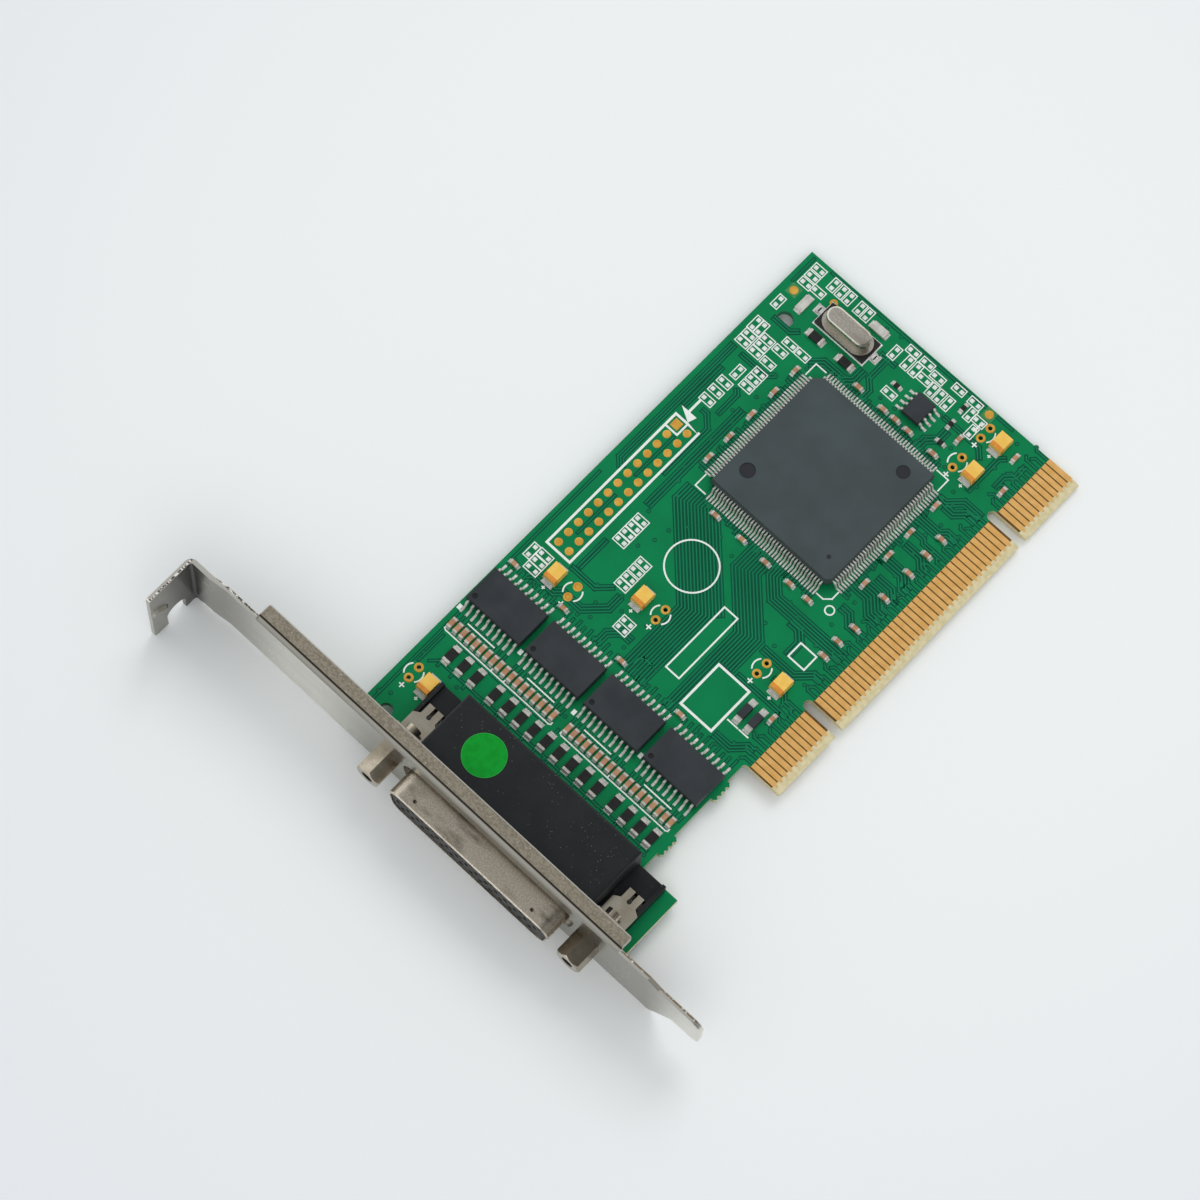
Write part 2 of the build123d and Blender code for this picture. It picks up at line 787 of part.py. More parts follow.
driver_lead = gull_wing(
    driver_width / 2, driver_lead_shoulder, driver_lead_drop, driver_lead_foot,
    height=(driver_underside + driver_top) / 2,
    thickness=driver_lead_thickness, width=driver_lead_width,
)
for k in range(4):
    place = (driver_x, driver_first_y - k * driver_spacing)
    body = chip_body(
        place, driver_width, driver_length, driver_underside, driver_top, driver_lead_thickness,
        marks=((driver_mark, driver_mark_radius),),
    )
    save(body, f"line_driver_{k + 1}_body")
    leads = lead_rows(place, driver_lead, driver_leads_each_side, driver_pitch, (0, 180))
    save(leads, f"line_driver_{k + 1}_leads")

save(
    chip_body(memory_place, memory_length, memory_width, memory_underside, memory_top,
              memory_lead_thickness),
    "memory_chip_body",
)
memory_lead = gull_wing(
    memory_width / 2, memory_lead_shoulder, memory_lead_drop, memory_lead_foot,
    height=(memory_underside + memory_top) / 2,
    thickness=memory_lead_thickness, width=driver_lead_width,
)
save(lead_rows(memory_place, memory_lead, memory_leads_each_side, driver_pitch, (90, 270)),
     "memory_chip_leads")

# Crystal: a can with a skirt, soldered to a plastic base with two flat leads

with BuildPart() as crystal_base:
    with BuildSketch(Plane.XY.offset(crystal_lead_thickness)):
        with Locations(crystal_place):
            Rectangle(crystal_base_width, crystal_base_length)
    extrude(amount=crystal_base_height - crystal_lead_thickness)

with BuildPart() as crystal_can:
    with BuildSketch(Plane.XY.offset(crystal_base_height)):
        with Locations(crystal_place):
            SlotOverall(crystal_skirt_length, crystal_skirt_width, rotation=90)
    extrude(amount=crystal_skirt_height)
    with BuildSketch(Plane.XY.offset(crystal_base_height)):
        with Locations(crystal_place):
            SlotOverall(crystal_can_length, crystal_can_width, rotation=90)
    extrude(amount=crystal_top - crystal_base_height)
    fillet(crystal_can.faces().sort_by(Axis.Z)[-1].edges(), crystal_can_edge)

with BuildPart() as crystal_leads:
    reach = crystal_base_length + 2 * crystal_lead_length
    with BuildSketch(Plane.XY):
        for side in (-1, 1):
            with Locations((crystal_place[0], crystal_place[1] + side * reach / 2)):
                Rectangle(crystal_lead_width, crystal_lead_length + crystal_lead_under_base,
                          align=(Align.CENTER, Align.MIN if side < 0 else Align.MAX))
    extrude(amount=crystal_lead_thickness)

save(crystal_base.part, "crystal_base")
save(crystal_can.part, "crystal_can")
save(crystal_leads.part, "crystal_leads")

# Chip parts soldered flat on the board


def chip_row(groups):
    """Blocks on the board: each group is a size, its places and its turn in degrees."""
    with BuildPart() as chips:
        for (length, width, height), places, turn in groups:
            with BuildSketch(Plane.XY):
                with Locations(places):
                    Rectangle(length, width, rotation=turn)
            extrude(amount=height)
    return chips.part


save(chip_row([(series_resistor_size, [(series_resistor_x, y) for y in series_resistor_ys], 0)]),
     "series_resistors")
array_places = [
    (array_capacitor_x, top - k * array_capacitor_pitch)
    for top in array_capacitor_tops
    for k in range(array_capacitors_each)
]
save(chip_row([(array_capacitor_size, array_places, 0)]), "array_capacitors")
save(chip_row([(small_chip_size, flat_capacitors, 0), (small_chip_size, upright_capacitors, 90)]),
     "decoupling_capacitors")
save(chip_row([(small_resistor_size, flat_small_resistors, 0),
               (small_resistor_size, upright_small_resistors, 90)]), "small_resistors")
save(chip_row([(series_resistor_size, pull_up_resistors_at, 90)]), "pull_up_resistors")
save(chip_row([(series_resistor_size, [flat_ferrite], 0),
               (series_resistor_size, [upright_ferrite], 90)]), "ferrite_chips")

# Tantalum capacitors and diodes: moulded cases between bent metal terminals

with BuildPart() as tantalum_capacitors:
    with BuildSketch(Plane.XY.offset(terminal_sheet)):
        with Locations(tantalum_places):
            Rectangle(tantalum_length, tantalum_width)
    extrude(amount=tantalum_height - terminal_sheet, taper=tantalum_draft)

with BuildPart() as tantalum_terminals:
    for side in (-1, 1):
        with BuildSketch(Plane.XY):
            with Locations([(x + side * tantalum_length / 2, y) for x, y in tantalum_places]):
                Rectangle(terminal_length, terminal_width)
        extrude(amount=terminal_sheet)

with BuildPart() as diodes:
    with BuildSketch(Plane.XY):
        with Locations(diode_places):
            Rectangle(diode_length, diode_width)
    extrude(amount=diode_height, taper=tantalum_draft)

with BuildPart() as diode_terminals:
    for side in (-1, 1):
        shift = side * (diode_length + diode_terminal_length) / 2
        with BuildSketch(Plane.XY):
            with Locations([(x + shift, y) for x, y in diode_places]):
                Rectangle(diode_terminal_length, diode_terminal_width)
        extrude(amount=diode_terminal_height)

save(tantalum_capacitors.part, "tantalum_capacitors")
save(tantalum_terminals.part, "tantalum_terminals")
save(diodes.part, "diodes")
save(diode_terminals.part, "diode_terminals")
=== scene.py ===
"""Looks of the serial port card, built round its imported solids.

Places and sizes are in millimetres in the card's own frame: X runs along the board away from
the bracket, Y from the edge contacts to the top edge, Z out of the component side.
"""

import logging
import math
from dataclasses import dataclass, field
from enum import Enum
from typing import Callable, Iterable, Optional, Sequence

import bmesh
import bpy
from mathutils import Matrix, Vector


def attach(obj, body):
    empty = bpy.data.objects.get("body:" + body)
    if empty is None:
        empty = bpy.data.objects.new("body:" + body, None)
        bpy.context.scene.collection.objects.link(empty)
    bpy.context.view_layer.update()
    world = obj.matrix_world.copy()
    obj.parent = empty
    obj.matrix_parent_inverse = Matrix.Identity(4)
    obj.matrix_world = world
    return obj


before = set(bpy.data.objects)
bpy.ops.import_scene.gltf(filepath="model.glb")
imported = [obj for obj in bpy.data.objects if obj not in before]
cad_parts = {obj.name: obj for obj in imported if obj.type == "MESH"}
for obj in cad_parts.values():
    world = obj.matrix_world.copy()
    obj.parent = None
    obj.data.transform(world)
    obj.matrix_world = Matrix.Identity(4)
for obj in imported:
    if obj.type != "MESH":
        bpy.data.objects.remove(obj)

log = logging.getLogger("serial_port_card")

MM = 0.001
BODY = "root"
BOARD_THICKNESS = 1.57
LAYER = 0.0006
LAYERS = 9

Colour = tuple[int, int, int]
Point = tuple[float, float]
Socket = bpy.types.NodeSocket


class Side(Enum):
    """Side of the board that a printed or soldered shape lies on."""

    COMPONENT = "component"
    SOLDER = "solder"


def linear(colour: Colour) -> tuple[float, float, float, float]:
    """Turns a screen colour of 0 to 255 into the linear colour that shaders take.

    Args:
        colour: Red, green and blue as seen on a screen.

    Returns:
        Linear red, green, blue and full alpha.
    """
    def channel(value: int) -> float:
        """One channel from screen to linear."""
        share = value / 255
        return share / 12.92 if share <= 0.04045 else ((share + 0.055) / 1.055) ** 2.4

    red, green, blue = (channel(v) for v in colour)
    return (red, green, blue, 1.0)


class Graph:
    """Shader nodes of one material, wired node by node."""

    def __init__(self, name: str, colour: Colour, roughness: float, metallic: float) -> None:
        """Starts a material with its plain values set on the shader.

        Args:
            name: Name of the material.
            colour: Its plain colour.
            roughness: Its plain roughness.
            metallic: 1 for metal, 0 for anything else.
        """
        self.material = bpy.data.materials.new(name)
        self.material.use_nodes = True
        self.tree = self.material.node_tree
        self.shader = self.tree.nodes["Principled BSDF"]
        self.shader.inputs["Base Color"].default_value = linear(colour)
        self.shader.inputs["Roughness"].default_value = roughness
        self.shader.inputs["Metallic"].default_value = metallic
        self.place = self.tree.nodes.new("ShaderNodeTexCoord").outputs["Object"]
        self._axes: Optional[bpy.types.Node] = None
        self._normal: Optional[bpy.types.Node] = None

    def set(self, name: str, value: float) -> None:
        """Sets a value that is the same all over the surface."""
        self.shader.inputs[name].default_value = value

    def wire(self, source: Socket, name: str) -> None:
        """Joins a socket to one of the shader's inputs."""
        self.tree.links.new(source, self.shader.inputs[name])

    def axis(self, letter: str) -> Socket:
        """The place along one axis, in millimetres.

        Args:
            letter: X, Y or Z.

        Returns:
            Socket that gives the coordinate.
        """
        if self._axes is None:
            self._axes = self.tree.nodes.new("ShaderNodeSeparateXYZ")
            self.tree.links.new(self.place, self._axes.inputs[0])
        return self.compute("MULTIPLY", self._axes.outputs[letter], 1 / MM)

    def normal(self, letter: str) -> Socket:
        """One component of the surface's direction."""
        if self._normal is None:
            source = self.tree.nodes.new("ShaderNodeNewGeometry").outputs["Normal"]
            self._normal = self.tree.nodes.new("ShaderNodeSeparateXYZ")
            self.tree.links.new(source, self._normal.inputs[0])
        return self._normal.outputs[letter]

    def compute(self, operation: str, first: Socket | float, second: Socket | float = 0.0) -> Socket:
        """One step of arithmetic.

        Args:
            operation: Name of the Math node's operation.
            first: A socket or a number.
            second: A socket or a number.

        Returns:
            Socket with the result.
        """
        node = self.tree.nodes.new("ShaderNodeMath")
        node.operation = operation
        for slot, value in zip(node.inputs, (first, second)):
            if isinstance(value, (int, float)):
                slot.default_value = value
            else:
                self.tree.links.new(value, slot)
        return node.outputs[0]

    def distance(self, centre: Point) -> Socket:
        """Distance in X and Y from a point, in millimetres."""
        x = self.compute("SUBTRACT", self.axis("X"), centre[0])
        y = self.compute("SUBTRACT", self.axis("Y"), centre[1])
        square = self.compute("ADD", self.compute("MULTIPLY", x, x), self.compute("MULTIPLY", y, y))
        return self.compute("SQRT", square)

    def step(self, value: Socket, start: float, end: float) -> Socket:
        """Rises smoothly from 0 at start to 1 at end, or falls if end is the smaller."""
        node = self.tree.nodes.new("ShaderNodeMapRange")
        node.interpolation_type = "SMOOTHSTEP"
        low, high = min(start, end), max(start, end)
        node.inputs["From Min"].default_value = low
        node.inputs["From Max"].default_value = high
        node.inputs["To Min"].default_value = 0.0 if end > start else 1.0
        node.inputs["To Max"].default_value = 1.0 if end > start else 0.0
        self.tree.links.new(value, node.inputs["Value"])
        return node.outputs["Result"]

    def band(self, value: Socket, low: float, high: float, soft: float) -> Socket:
        """1 between low and high, 0 outside, with soft ends."""
        rise = self.step(value, low - soft, low + soft)
        fall = self.step(value, high + soft, high - soft)
        return self.compute("MULTIPLY", rise, fall)

    def both(self, *factors: Socket) -> Socket:
        """Product of several factors."""
        result = factors[0]
        for other in factors[1:]:
            result = self.compute("MULTIPLY", result, other)
        return result

    def noise(self, grain: float, detail: float = 3.0,
              stretch: tuple[float, float, float] = (1, 1, 1)) -> Socket:
        """Cloudy variation.

        Args:
            grain: Size of its features in millimetres.
            detail: How much finer structure it has.
            stretch: How much longer the features are along X, Y and Z.

        Returns:
            Socket from 0 to 1, mostly near a half.
        """
        mapping = self.tree.nodes.new("ShaderNodeMapping")
        mapping.inputs["Scale"].default_value = tuple(1 / s for s in stretch)
        self.tree.links.new(self.place, mapping.inputs["Vector"])
        node = self.tree.nodes.new("ShaderNodeTexNoise")
        node.inputs["Scale"].default_value = 1 / (grain * MM)
        node.inputs["Detail"].default_value = detail
        self.tree.links.new(mapping.outputs[0], node.inputs["Vector"])
        return node.outputs["Fac"]

    def specks(self, spacing: float, size: float) -> Socket:
        """Small scattered dots.

        Args:
            spacing: Mean distance between dots in millimetres.
            size: Radius of a dot in millimetres.

        Returns:
            Socket that is 1 on a dot and 0 elsewhere.
        """
        node = self.tree.nodes.new("ShaderNodeTexVoronoi")
        node.inputs["Scale"].default_value = 1 / (spacing * MM)
        self.tree.links.new(self.place, node.inputs["Vector"])
        edge = size / spacing
        return self.step(node.outputs["Distance"], edge * 1.3, edge * 0.7)

    def blend(self, factor: Socket | float, low: Colour | Socket, high: Colour | Socket) -> Socket:
        """Mixes two colours.

        Args:
            factor: 0 for the first colour, 1 for the second.
            low: First colour, or a socket with one.
            high: Second colour, or a socket with one.

        Returns:
            Socket with the mixed colour.
        """
        node = self.tree.nodes.new("ShaderNodeMix")
        node.data_type = "RGBA"
        if isinstance(factor, (int, float)):
            node.inputs[0].default_value = factor
        else:
            self.tree.links.new(factor, node.inputs[0])
        for slot, value in ((node.inputs[6], low), (node.inputs[7], high)):
            if isinstance(value, tuple):
                slot.default_value = linear(value)
            else:
                self.tree.links.new(value, slot)
        return node.outputs[2]

    def bump(self, height: Socket, depth: float) -> None:
        """Roughens the surface.

        Args:
            height: Socket with the height pattern.
            depth: Height of the pattern in millimetres.
        """
        node = self.tree.nodes.new("ShaderNodeBump")
        node.inputs["Distance"].default_value = depth * MM
        self.tree.links.new(height, node.inputs["Height"])
        self.wire(node.outputs["Normal"], "Normal")


@dataclass(frozen=True)
class Finish:
    """A finish with slow colour changes, a fine grain and uneven gloss."""

    name: str
    colour: Colour
    shade: Colour
    roughness: float = 0.5
    spread: float = 0.1
    metallic: float = 0.0
    patch: float = 6.0
    grain: float = 0.25
    depth: float = 0.01
    specular: float = 0.5
    coat: float = 0.0

    def material(self) -> bpy.types.Material:
        """The material of this finish, made once."""
        return bpy.data.materials.get(f"{self.name}_finish") or self.make()

    def make(self) -> bpy.types.Material:
        """Makes the material.

        Returns:
            The new material.
        """
        graph = Graph(f"{self.name}_finish", self.colour, self.roughness, self.metallic)
        graph.set("Specular IOR Level", self.specular)
        graph.set("Coat Weight", self.coat)
        graph.wire(self.paint(graph), "Base Color")
        cloud = graph.noise(self.patch, 4.0)
        low = self.roughness - self.spread
        rough = graph.compute("MULTIPLY", cloud, 2 * self.spread)
        graph.wire(graph.compute("ADD", rough, low), "Roughness")
        graph.bump(self.relief(graph), self.depth)
        return graph.material

    def paint(self, graph: Graph) -> Socket:
        """Colour over the surface."""
        slow = graph.step(graph.noise(self.patch, 4.0), 0.3, 0.7)
        return graph.blend(slow, self.colour, self.shade)

    def relief(self, graph: Graph) -> Socket:
        """Height pattern over the surface."""
        return graph.noise(self.grain, 3.0)


@dataclass(frozen=True)
class MaskFinish(Finish):
    """Green solder mask, with bare laminate on the cut edges and between the contacts."""

    laminate: Colour = (222, 211, 172)
    gap: Colour = (92, 66, 34)
    laminate_shade: Colour = (208, 196, 152)
    gap_shade: Colour = (112, 82, 44)
    cut_edge: Colour = (34, 122, 84)
    cut_fade: Point = (-0.3, 2.2)
    mask_ends: float = 7.03
    bevel_starts: float = 1.74
    tongue_from: float = -64.2

    def paint(self, graph: Graph) -> Socket:
        """Mask on the faces, laminate on the tongue's edges, brown laminate between the contacts."""
        slow = graph.step(graph.noise(self.patch, 4.0), 0.3, 0.7)
        mask = graph.blend(slow, self.colour, self.shade)
        weave = graph.step(graph.noise(1.0, 2.0), 0.3, 0.7)
        laminate = graph.blend(weave, self.laminate, self.laminate_shade)
        between = graph.blend(weave, self.gap, self.gap_shade)
        low = graph.axis("Y")
        bare = graph.both(
            graph.step(low, self.mask_ends + 0.03, self.mask_ends - 0.03),
            graph.step(graph.axis("X"), self.tongue_from - 0.05, self.tongue_from + 0.05),
        )
        strip = graph.step(low, self.bevel_starts + 0.05, self.bevel_starts - 0.05)
        tongue = graph.blend(strip, between, laminate)
        face = graph.blend(bare, mask, tongue)
        flat = graph.step(graph.compute("ABSOLUTE", graph.normal("Z")), 0.4, 0.6)
        start, end = self.cut_fade
        green = graph.step(low, self.mask_ends + start, self.mask_ends + end)
        cut = graph.blend(green, laminate, self.cut_edge)
        return graph.blend(flat, cut, face)


@dataclass(frozen=True)
class BracketFinish(Finish):
    """Dull plated sheet with a stained flange and rough cut edges, with painted shade on the face, in the tab
    corner and on the flange's bend, and painted glints on the cut edges.
    """

    stain: Colour = (196, 186, 167)
    deep_stain: Colour = (166, 156, 138)
    # Worn specks on the flange, and the painted glints on the cut edges:
    speck: Colour = (248, 244, 236)
    # Painted shade on the flange's rounded bend:
    bend_shade: Colour = (150, 147, 138)
    # Painted shade along the crease at the bend, also the dark spots on the cut edges:
    crease_shade: Colour = (60, 56, 48)
    # Painted shade on the face outside its bright band:
    face_shade: Colour = (164, 161, 152)
    worn_edge: Colour = (126, 110, 88)
    # Painted shade in the concave corner at the tab:
    corner_shade: Colour = (56, 54, 49)
    # Span of the face left bright as a painted reflection of the lit table, and where the painted shade
    # beyond it fades in:
    bright_span: Point = (62.0, 84.0)
    bright_fade: float = 9.0
    face_shade_fade: Point = (-17.0, -7.0)
    corner_dark: Point = (-117.5, -106.5)
    corner_fade: Point = (95.5, 99.0)
    flange: Point = (-0.9, 83.9)
    flange_from: float = -105.3
    flange_edge: float = -102.82
    bend_line: Point = (-105.5, -105.15)
    top: float = 14.5
    core: Point = (-105.82, -105.45)
    tab_core: Point = (98.98, 99.36)
    tongue_fade: Point = (-2.0, 0.0)
    # Lower metallic on the cut edges, so that their painted glints stay light:
    edge_metallic: float = 0.2

    def paint(self, graph: Graph) -> Socket:
        """Grey plating, a browner flange, painted shade on the face, tab corner and bend, and painted glints
        on the cut edges, fewer below the flange.
        """
        slow = graph.step(graph.noise(self.patch, 5.0, (1, 3, 1)), 0.35, 0.65)
        fine = graph.step(graph.noise(0.28, 3.0), 0.3, 0.7)
        plate = graph.blend(fine, graph.blend(slow, self.colour, self.shade), self.shade)
        y = graph.axis("Y")
        z = graph.axis("Z")
        x = graph.axis("X")
        upright = graph.step(graph.compute("ABSOLUTE", graph.normal("Z")), 0.7, 0.4)
        # Painted shade: the upright face is darkened outside the bright band, which stands for the lit table
        # reflected in it.
        face_shade = graph.compute("SUBTRACT", 1.0, graph.band(y, *self.bright_span, self.bright_fade))
        plate = graph.blend(graph.both(upright, face_shade, graph.step(y, *self.face_shade_fade)), plate, self.face_shade)
        # Painted shade in the concave corner near the tab, where the face sees only shadow.
        corner = graph.both(upright, graph.step(y, *self.corner_fade), graph.step(x, *self.corner_dark))
        plate = graph.blend(corner, plate, self.corner_shade)
        mottle = graph.step(graph.noise(0.32, 5.0, (1, 1.4, 1)), 0.36, 0.64)
        stained = graph.blend(mottle, self.stain, self.deep_stain)
        worn = graph.both(graph.specks(0.7, 0.09), graph.step(graph.noise(3.0, 3.0), 0.42, 0.56))
        stained = graph.blend(worn, stained, self.speck)
        on_top = graph.step(z, self.top - 0.25, self.top)
        upper = graph.both(
            on_top,
            graph.step(x, self.flange_from - 0.3, self.flange_from + 0.3),
            graph.band(y, self.flange[0] + 0.15, self.flange[1] - 0.15, 0.1),
            graph.step(x, self.flange_edge, self.flange_edge - 0.13),
        )
        plate = graph.blend(upper, plate, stained)
        # Painted shade on the rounded bend up to the flange, toning down its highlight.
        along = graph.band(y, *self.flange, 0.1)
        rounded = graph.band(graph.compute("ABSOLUTE", graph.normal("Z")), 0.25, 0.93, 0.05)
        raised = graph.step(z, self.top - 2.5, self.top - 1.8)
        plate = graph.blend(graph.both(rounded, raised, along), plate, self.bend_shade)
        # Painted shade: a dark line along the crease where the flange bends up.
        near_top = graph.step(z, self.top - 0.5, self.top - 0.2)
        crease_shade = graph.both(near_top, graph.band(x, *self.bend_line, 0.07), along)
        plate = graph.blend(crease_shade, plate, self.crease_shade)
        # Painted highlights and painted shade on the cut edges: light glints among dark spots, with fewer
        # glints on a browner edge below the flange.
        cut = graph.step(graph.compute("ABSOLUTE", graph.normal("Z")), 0.85, 0.95)
        off_flange = graph.compute("SUBTRACT", 1.0, graph.band(y, *self.flange, 0.05))
        strip = graph.both(graph.band(x, *self.core, 0.05), off_flange)
        tab = graph.band(y, *self.tab_core, 0.05)
        core = graph.both(cut, graph.compute("MAXIMUM", strip, tab))
        edge_glint_spots = graph.step(graph.noise(0.3, 2.0, (0.8, 1.4, 1)), 0.42, 0.6)
        few = graph.step(graph.noise(0.45, 2.0), 0.56, 0.68)
        edge_glints = graph.blend(
            graph.step(y, *self.tongue_fade),
            graph.blend(few, self.worn_edge, self.speck),
            graph.blend(edge_glint_spots, self.crease_shade, self.speck),
        )
        lost = graph.compute("MULTIPLY", core, self.metallic - self.edge_metallic)
        graph.wire(graph.compute("SUBTRACT", self.metallic, lost), "Metallic")
        return graph.blend(core, plate, edge_glints)


@dataclass(frozen=True)
class PlatedFinish(Finish):
    """Drawn steel under dull plating, with a fine grain, bright specks and painted shade in the dimples."""

    speck: Colour = (246, 242, 232)
    stain: Colour = (132, 122, 106)
    dimples: tuple[Point, ...] = ()
    dimple_radius: float = 0.32
    # Painted shade in the dimples:
    dimple_shade: Colour = (84, 76, 66)

    def paint(self, graph: Graph) -> Socket:
        """Grain and stains, with painted shade in the dimples."""
        grain = graph.step(graph.noise(0.3, 4.0), 0.34, 0.66)
        plate = graph.blend(grain, self.colour, self.shade)
        cloud = graph.step(graph.noise(self.patch, 5.0, (1, 2.5, 1)), 0.5, 0.75)
        plate = graph.blend(cloud, plate, self.stain)
        bright = graph.both(graph.specks(0.8, 0.09), graph.step(graph.noise(3.0, 3.0), 0.45, 0.6))
        plate = graph.blend(bright, plate, self.speck)
        # Painted shade: each dimple's hollow is a dark spot on the upward faces.
        for centre in self.dimples:
            inside = graph.step(graph.distance(centre), self.dimple_radius + 0.05, self.dimple_radius - 0.05)
            above = graph.step(graph.normal("Z"), 0.0, 0.1)
            plate = graph.blend(graph.both(inside, above), plate, self.dimple_shade)
        return plate


@dataclass(frozen=True)
class MouldedFinish(Finish):
    """Moulded plastic with scattered dust."""

    dust: Colour = (120, 118, 112)
    dust_spacing: float = 1.6
    dust_size: float = 0.07
    marks: tuple[tuple[float, float, float], ...] = ()
    mark_colour: Colour = (40, 42, 46)

    def paint(self, graph: Graph) -> Socket:
        """The moulding's colour with darker round marks, given as X, Y and radius, and dust."""
        slow = graph.step(graph.noise(self.patch, 4.0), 0.3, 0.7)
        base = graph.blend(slow, self.colour, self.shade)
        for x, y, radius in self.marks:
            distance = graph.distance((x, y))
            base = graph.blend(graph.step(distance, radius + 0.04, radius - 0.04), base, self.mark_colour)
        sparse = graph.step(graph.noise(3.0, 2.0), 0.44, 0.56)
        return graph.blend(
            graph.both(graph.specks(self.dust_spacing, self.dust_size), sparse), base, self.dust)


@dataclass(frozen=True)
class StickerFinish(Finish):
    """Green paper with a lighter cut rim."""

    centre: Point = (-95.9, 39.8)
    radius: float = 4.0
    rim: Colour = (120, 205, 130)

    def paint(self, graph: Graph) -> Socket:
        """Even green with a lighter rim."""
        slow = graph.step(graph.noise(self.patch, 6.0), 0.35, 0.65)
        paper = graph.blend(slow, self.colour, self.shade)
        distance = graph.distance(self.centre)
        return graph.blend(graph.step(distance, self.radius - 0.1, self.radius - 0.04), paper, self.rim)


DRIVER_ROWS: tuple[float, ...] = (57.01, 43.04, 29.07, 15.1)
SHELL_DIMPLES: tuple[Point, ...] = ((-109.78, 42.8), (-109.78, 15.4))

MASK = MaskFinish("solder_mask", (2, 129, 77), (1, 120, 71), 0.36, 0.06, patch=9.0, grain=0.4, depth=0.004,
                  specular=0.15)
FIELD = Finish("mask_on_bare_board", (1, 84, 61), (1, 74, 54), 0.38, 0.06, patch=6.0, grain=0.4, depth=0.003,
               specular=0.15)
TRACK = Finish("masked_track", (8, 130, 84), (5, 120, 77), 0.34, 0.06, patch=9.0, grain=0.3, depth=0.003,
               specular=0.2)
VIA_MIDDLE = Finish("via_middle", (1, 62, 42), (1, 54, 36), 0.4, 0.05, patch=1.0, grain=0.2, depth=0.002,
                    specular=0.3)
CLEARING = Finish("bare_clearing", (70, 140, 84), (58, 130, 76), 0.5, 0.06, patch=1.0, grain=0.3, depth=0.004,
                  specular=0.3)
SILK = Finish("white_print", (242, 246, 242), (232, 238, 232), 0.6, 0.08, patch=2.0, grain=0.12, depth=0.004,
              specular=0.3)
GOLD = Finish("contact_gold", (242, 190, 114), (230, 176, 98), 0.36, 0.08, 0.4, patch=1.6, grain=0.2,
              depth=0.004)
LAND = Finish("land_gold", (236, 182, 78), (218, 158, 58), 0.38, 0.1, 0.4, patch=1.5, grain=0.15, depth=0.006)
SOCKET_GOLD = Finish("socket_spring", (150, 120, 70), (110, 84, 46), 0.4, 0.1, 0.8, patch=0.8, grain=0.2,
                     depth=0.004)
TIN = Finish("tinned_lead", (230, 230, 225), (200, 200, 194), 0.34, 0.1, 0.4, patch=1.0, grain=0.12,
             depth=0.01)
SOLDER = Finish("solder", (228, 228, 224), (188, 187, 182), 0.32, 0.1, 0.35, patch=0.6, grain=0.15,
                depth=0.02)
CHIP_END = Finish("chip_end", (216, 213, 206), (188, 184, 176), 0.42, 0.1, 0.2, patch=0.7, grain=0.1,
                  depth=0.01)
PAD = Finish("bare_pad", (240, 244, 242), (220, 226, 223), 0.42, 0.1, 0.1, patch=0.6, grain=0.15, depth=0.015)
BRACKET = BracketFinish("bracket_plating", (238, 236, 228), (224, 221, 211), 0.29, 0.06, 0.92,
                        patch=5.0, grain=0.35, depth=0.004)
SHELL = PlatedFinish("shell_plating", (218, 208, 192), (190, 180, 164), 0.27, 0.06, 0.92, patch=3.0,
                     grain=0.4, depth=0.006, dimples=SHELL_DIMPLES)
TURNED = Finish("turned_nickel", (190, 180, 162), (164, 154, 136), 0.2, 0.05, 0.95, patch=2.0, grain=0.6,
                depth=0.006)
NICKEL = Finish("bright_nickel", (206, 198, 182), (186, 177, 158), 0.18, 0.04, 0.95, patch=3.0, grain=0.8,
                depth=0.001)
CAN = PlatedFinish("crystal_can_steel", (226, 220, 208), (208, 201, 188), 0.19, 0.04, 0.95, patch=3.0,
                   grain=0.6, depth=0.003, stain=(176, 168, 154))
HOOD = MouldedFinish("black_hood", (32, 35, 37), (26, 29, 31), 0.5, 0.08, patch=5.0, grain=0.3, depth=0.01,
                     specular=0.3, dust=(128, 126, 120), dust_spacing=0.62, dust_size=0.06)
INSULATOR = Finish("black_insulator", (40, 38, 36), (30, 29, 28), 0.5, 0.08, patch=3.0, grain=0.2, depth=0.01,
                   specular=0.35)
CONTROLLER = MouldedFinish("controller_epoxy", (68, 78, 80), (62, 71, 73), 0.52, 0.06, patch=8.0, grain=0.18,
                           depth=0.012, specular=0.35, dust=(96, 100, 106), dust_spacing=2.2, dust_size=0.06,
                           marks=((-24.77, 43.51, 1.48), (-5.97, 23.51, 1.3), (-26.7, 22.4, 0.42)))
EPOXY = MouldedFinish("driver_epoxy", (52, 56, 60), (45, 49, 53), 0.55, 0.06, patch=4.0, grain=0.16,
                      depth=0.012, specular=0.35, dust=(84, 84, 82), dust_spacing=1.8, dust_size=0.07,
                      marks=tuple((-74.5, y + 5.3, 0.5) for y in DRIVER_ROWS), mark_colour=(26, 28, 31))
STICKER = StickerFinish("green_paper", (4, 152, 44), (3, 142, 38), 0.62, 0.05, patch=1.2, grain=0.3,
                        depth=0.006, specular=0.2, rim=(60, 176, 80))
TANTALUM = Finish("tantalum_case", (248, 204, 100), (240, 191, 86), 0.5, 0.08, patch=2.0, grain=0.2,
                  depth=0.008, specular=0.35)
BAND = Finish("tantalum_band", (226, 148, 58), (214, 134, 48), 0.5, 0.08, patch=1.0, grain=0.2, depth=0.006,
              specular=0.35)
CERAMIC = Finish("tan_ceramic", (190, 146, 112), (170, 124, 94), 0.46, 0.08, patch=1.2, grain=0.15,
                 depth=0.01, specular=0.35)
RESISTOR = Finish("resistor_glaze", (38, 36, 36), (30, 28, 28), 0.36, 0.08, patch=0.8, grain=0.2, depth=0.006,
                  specular=0.35)
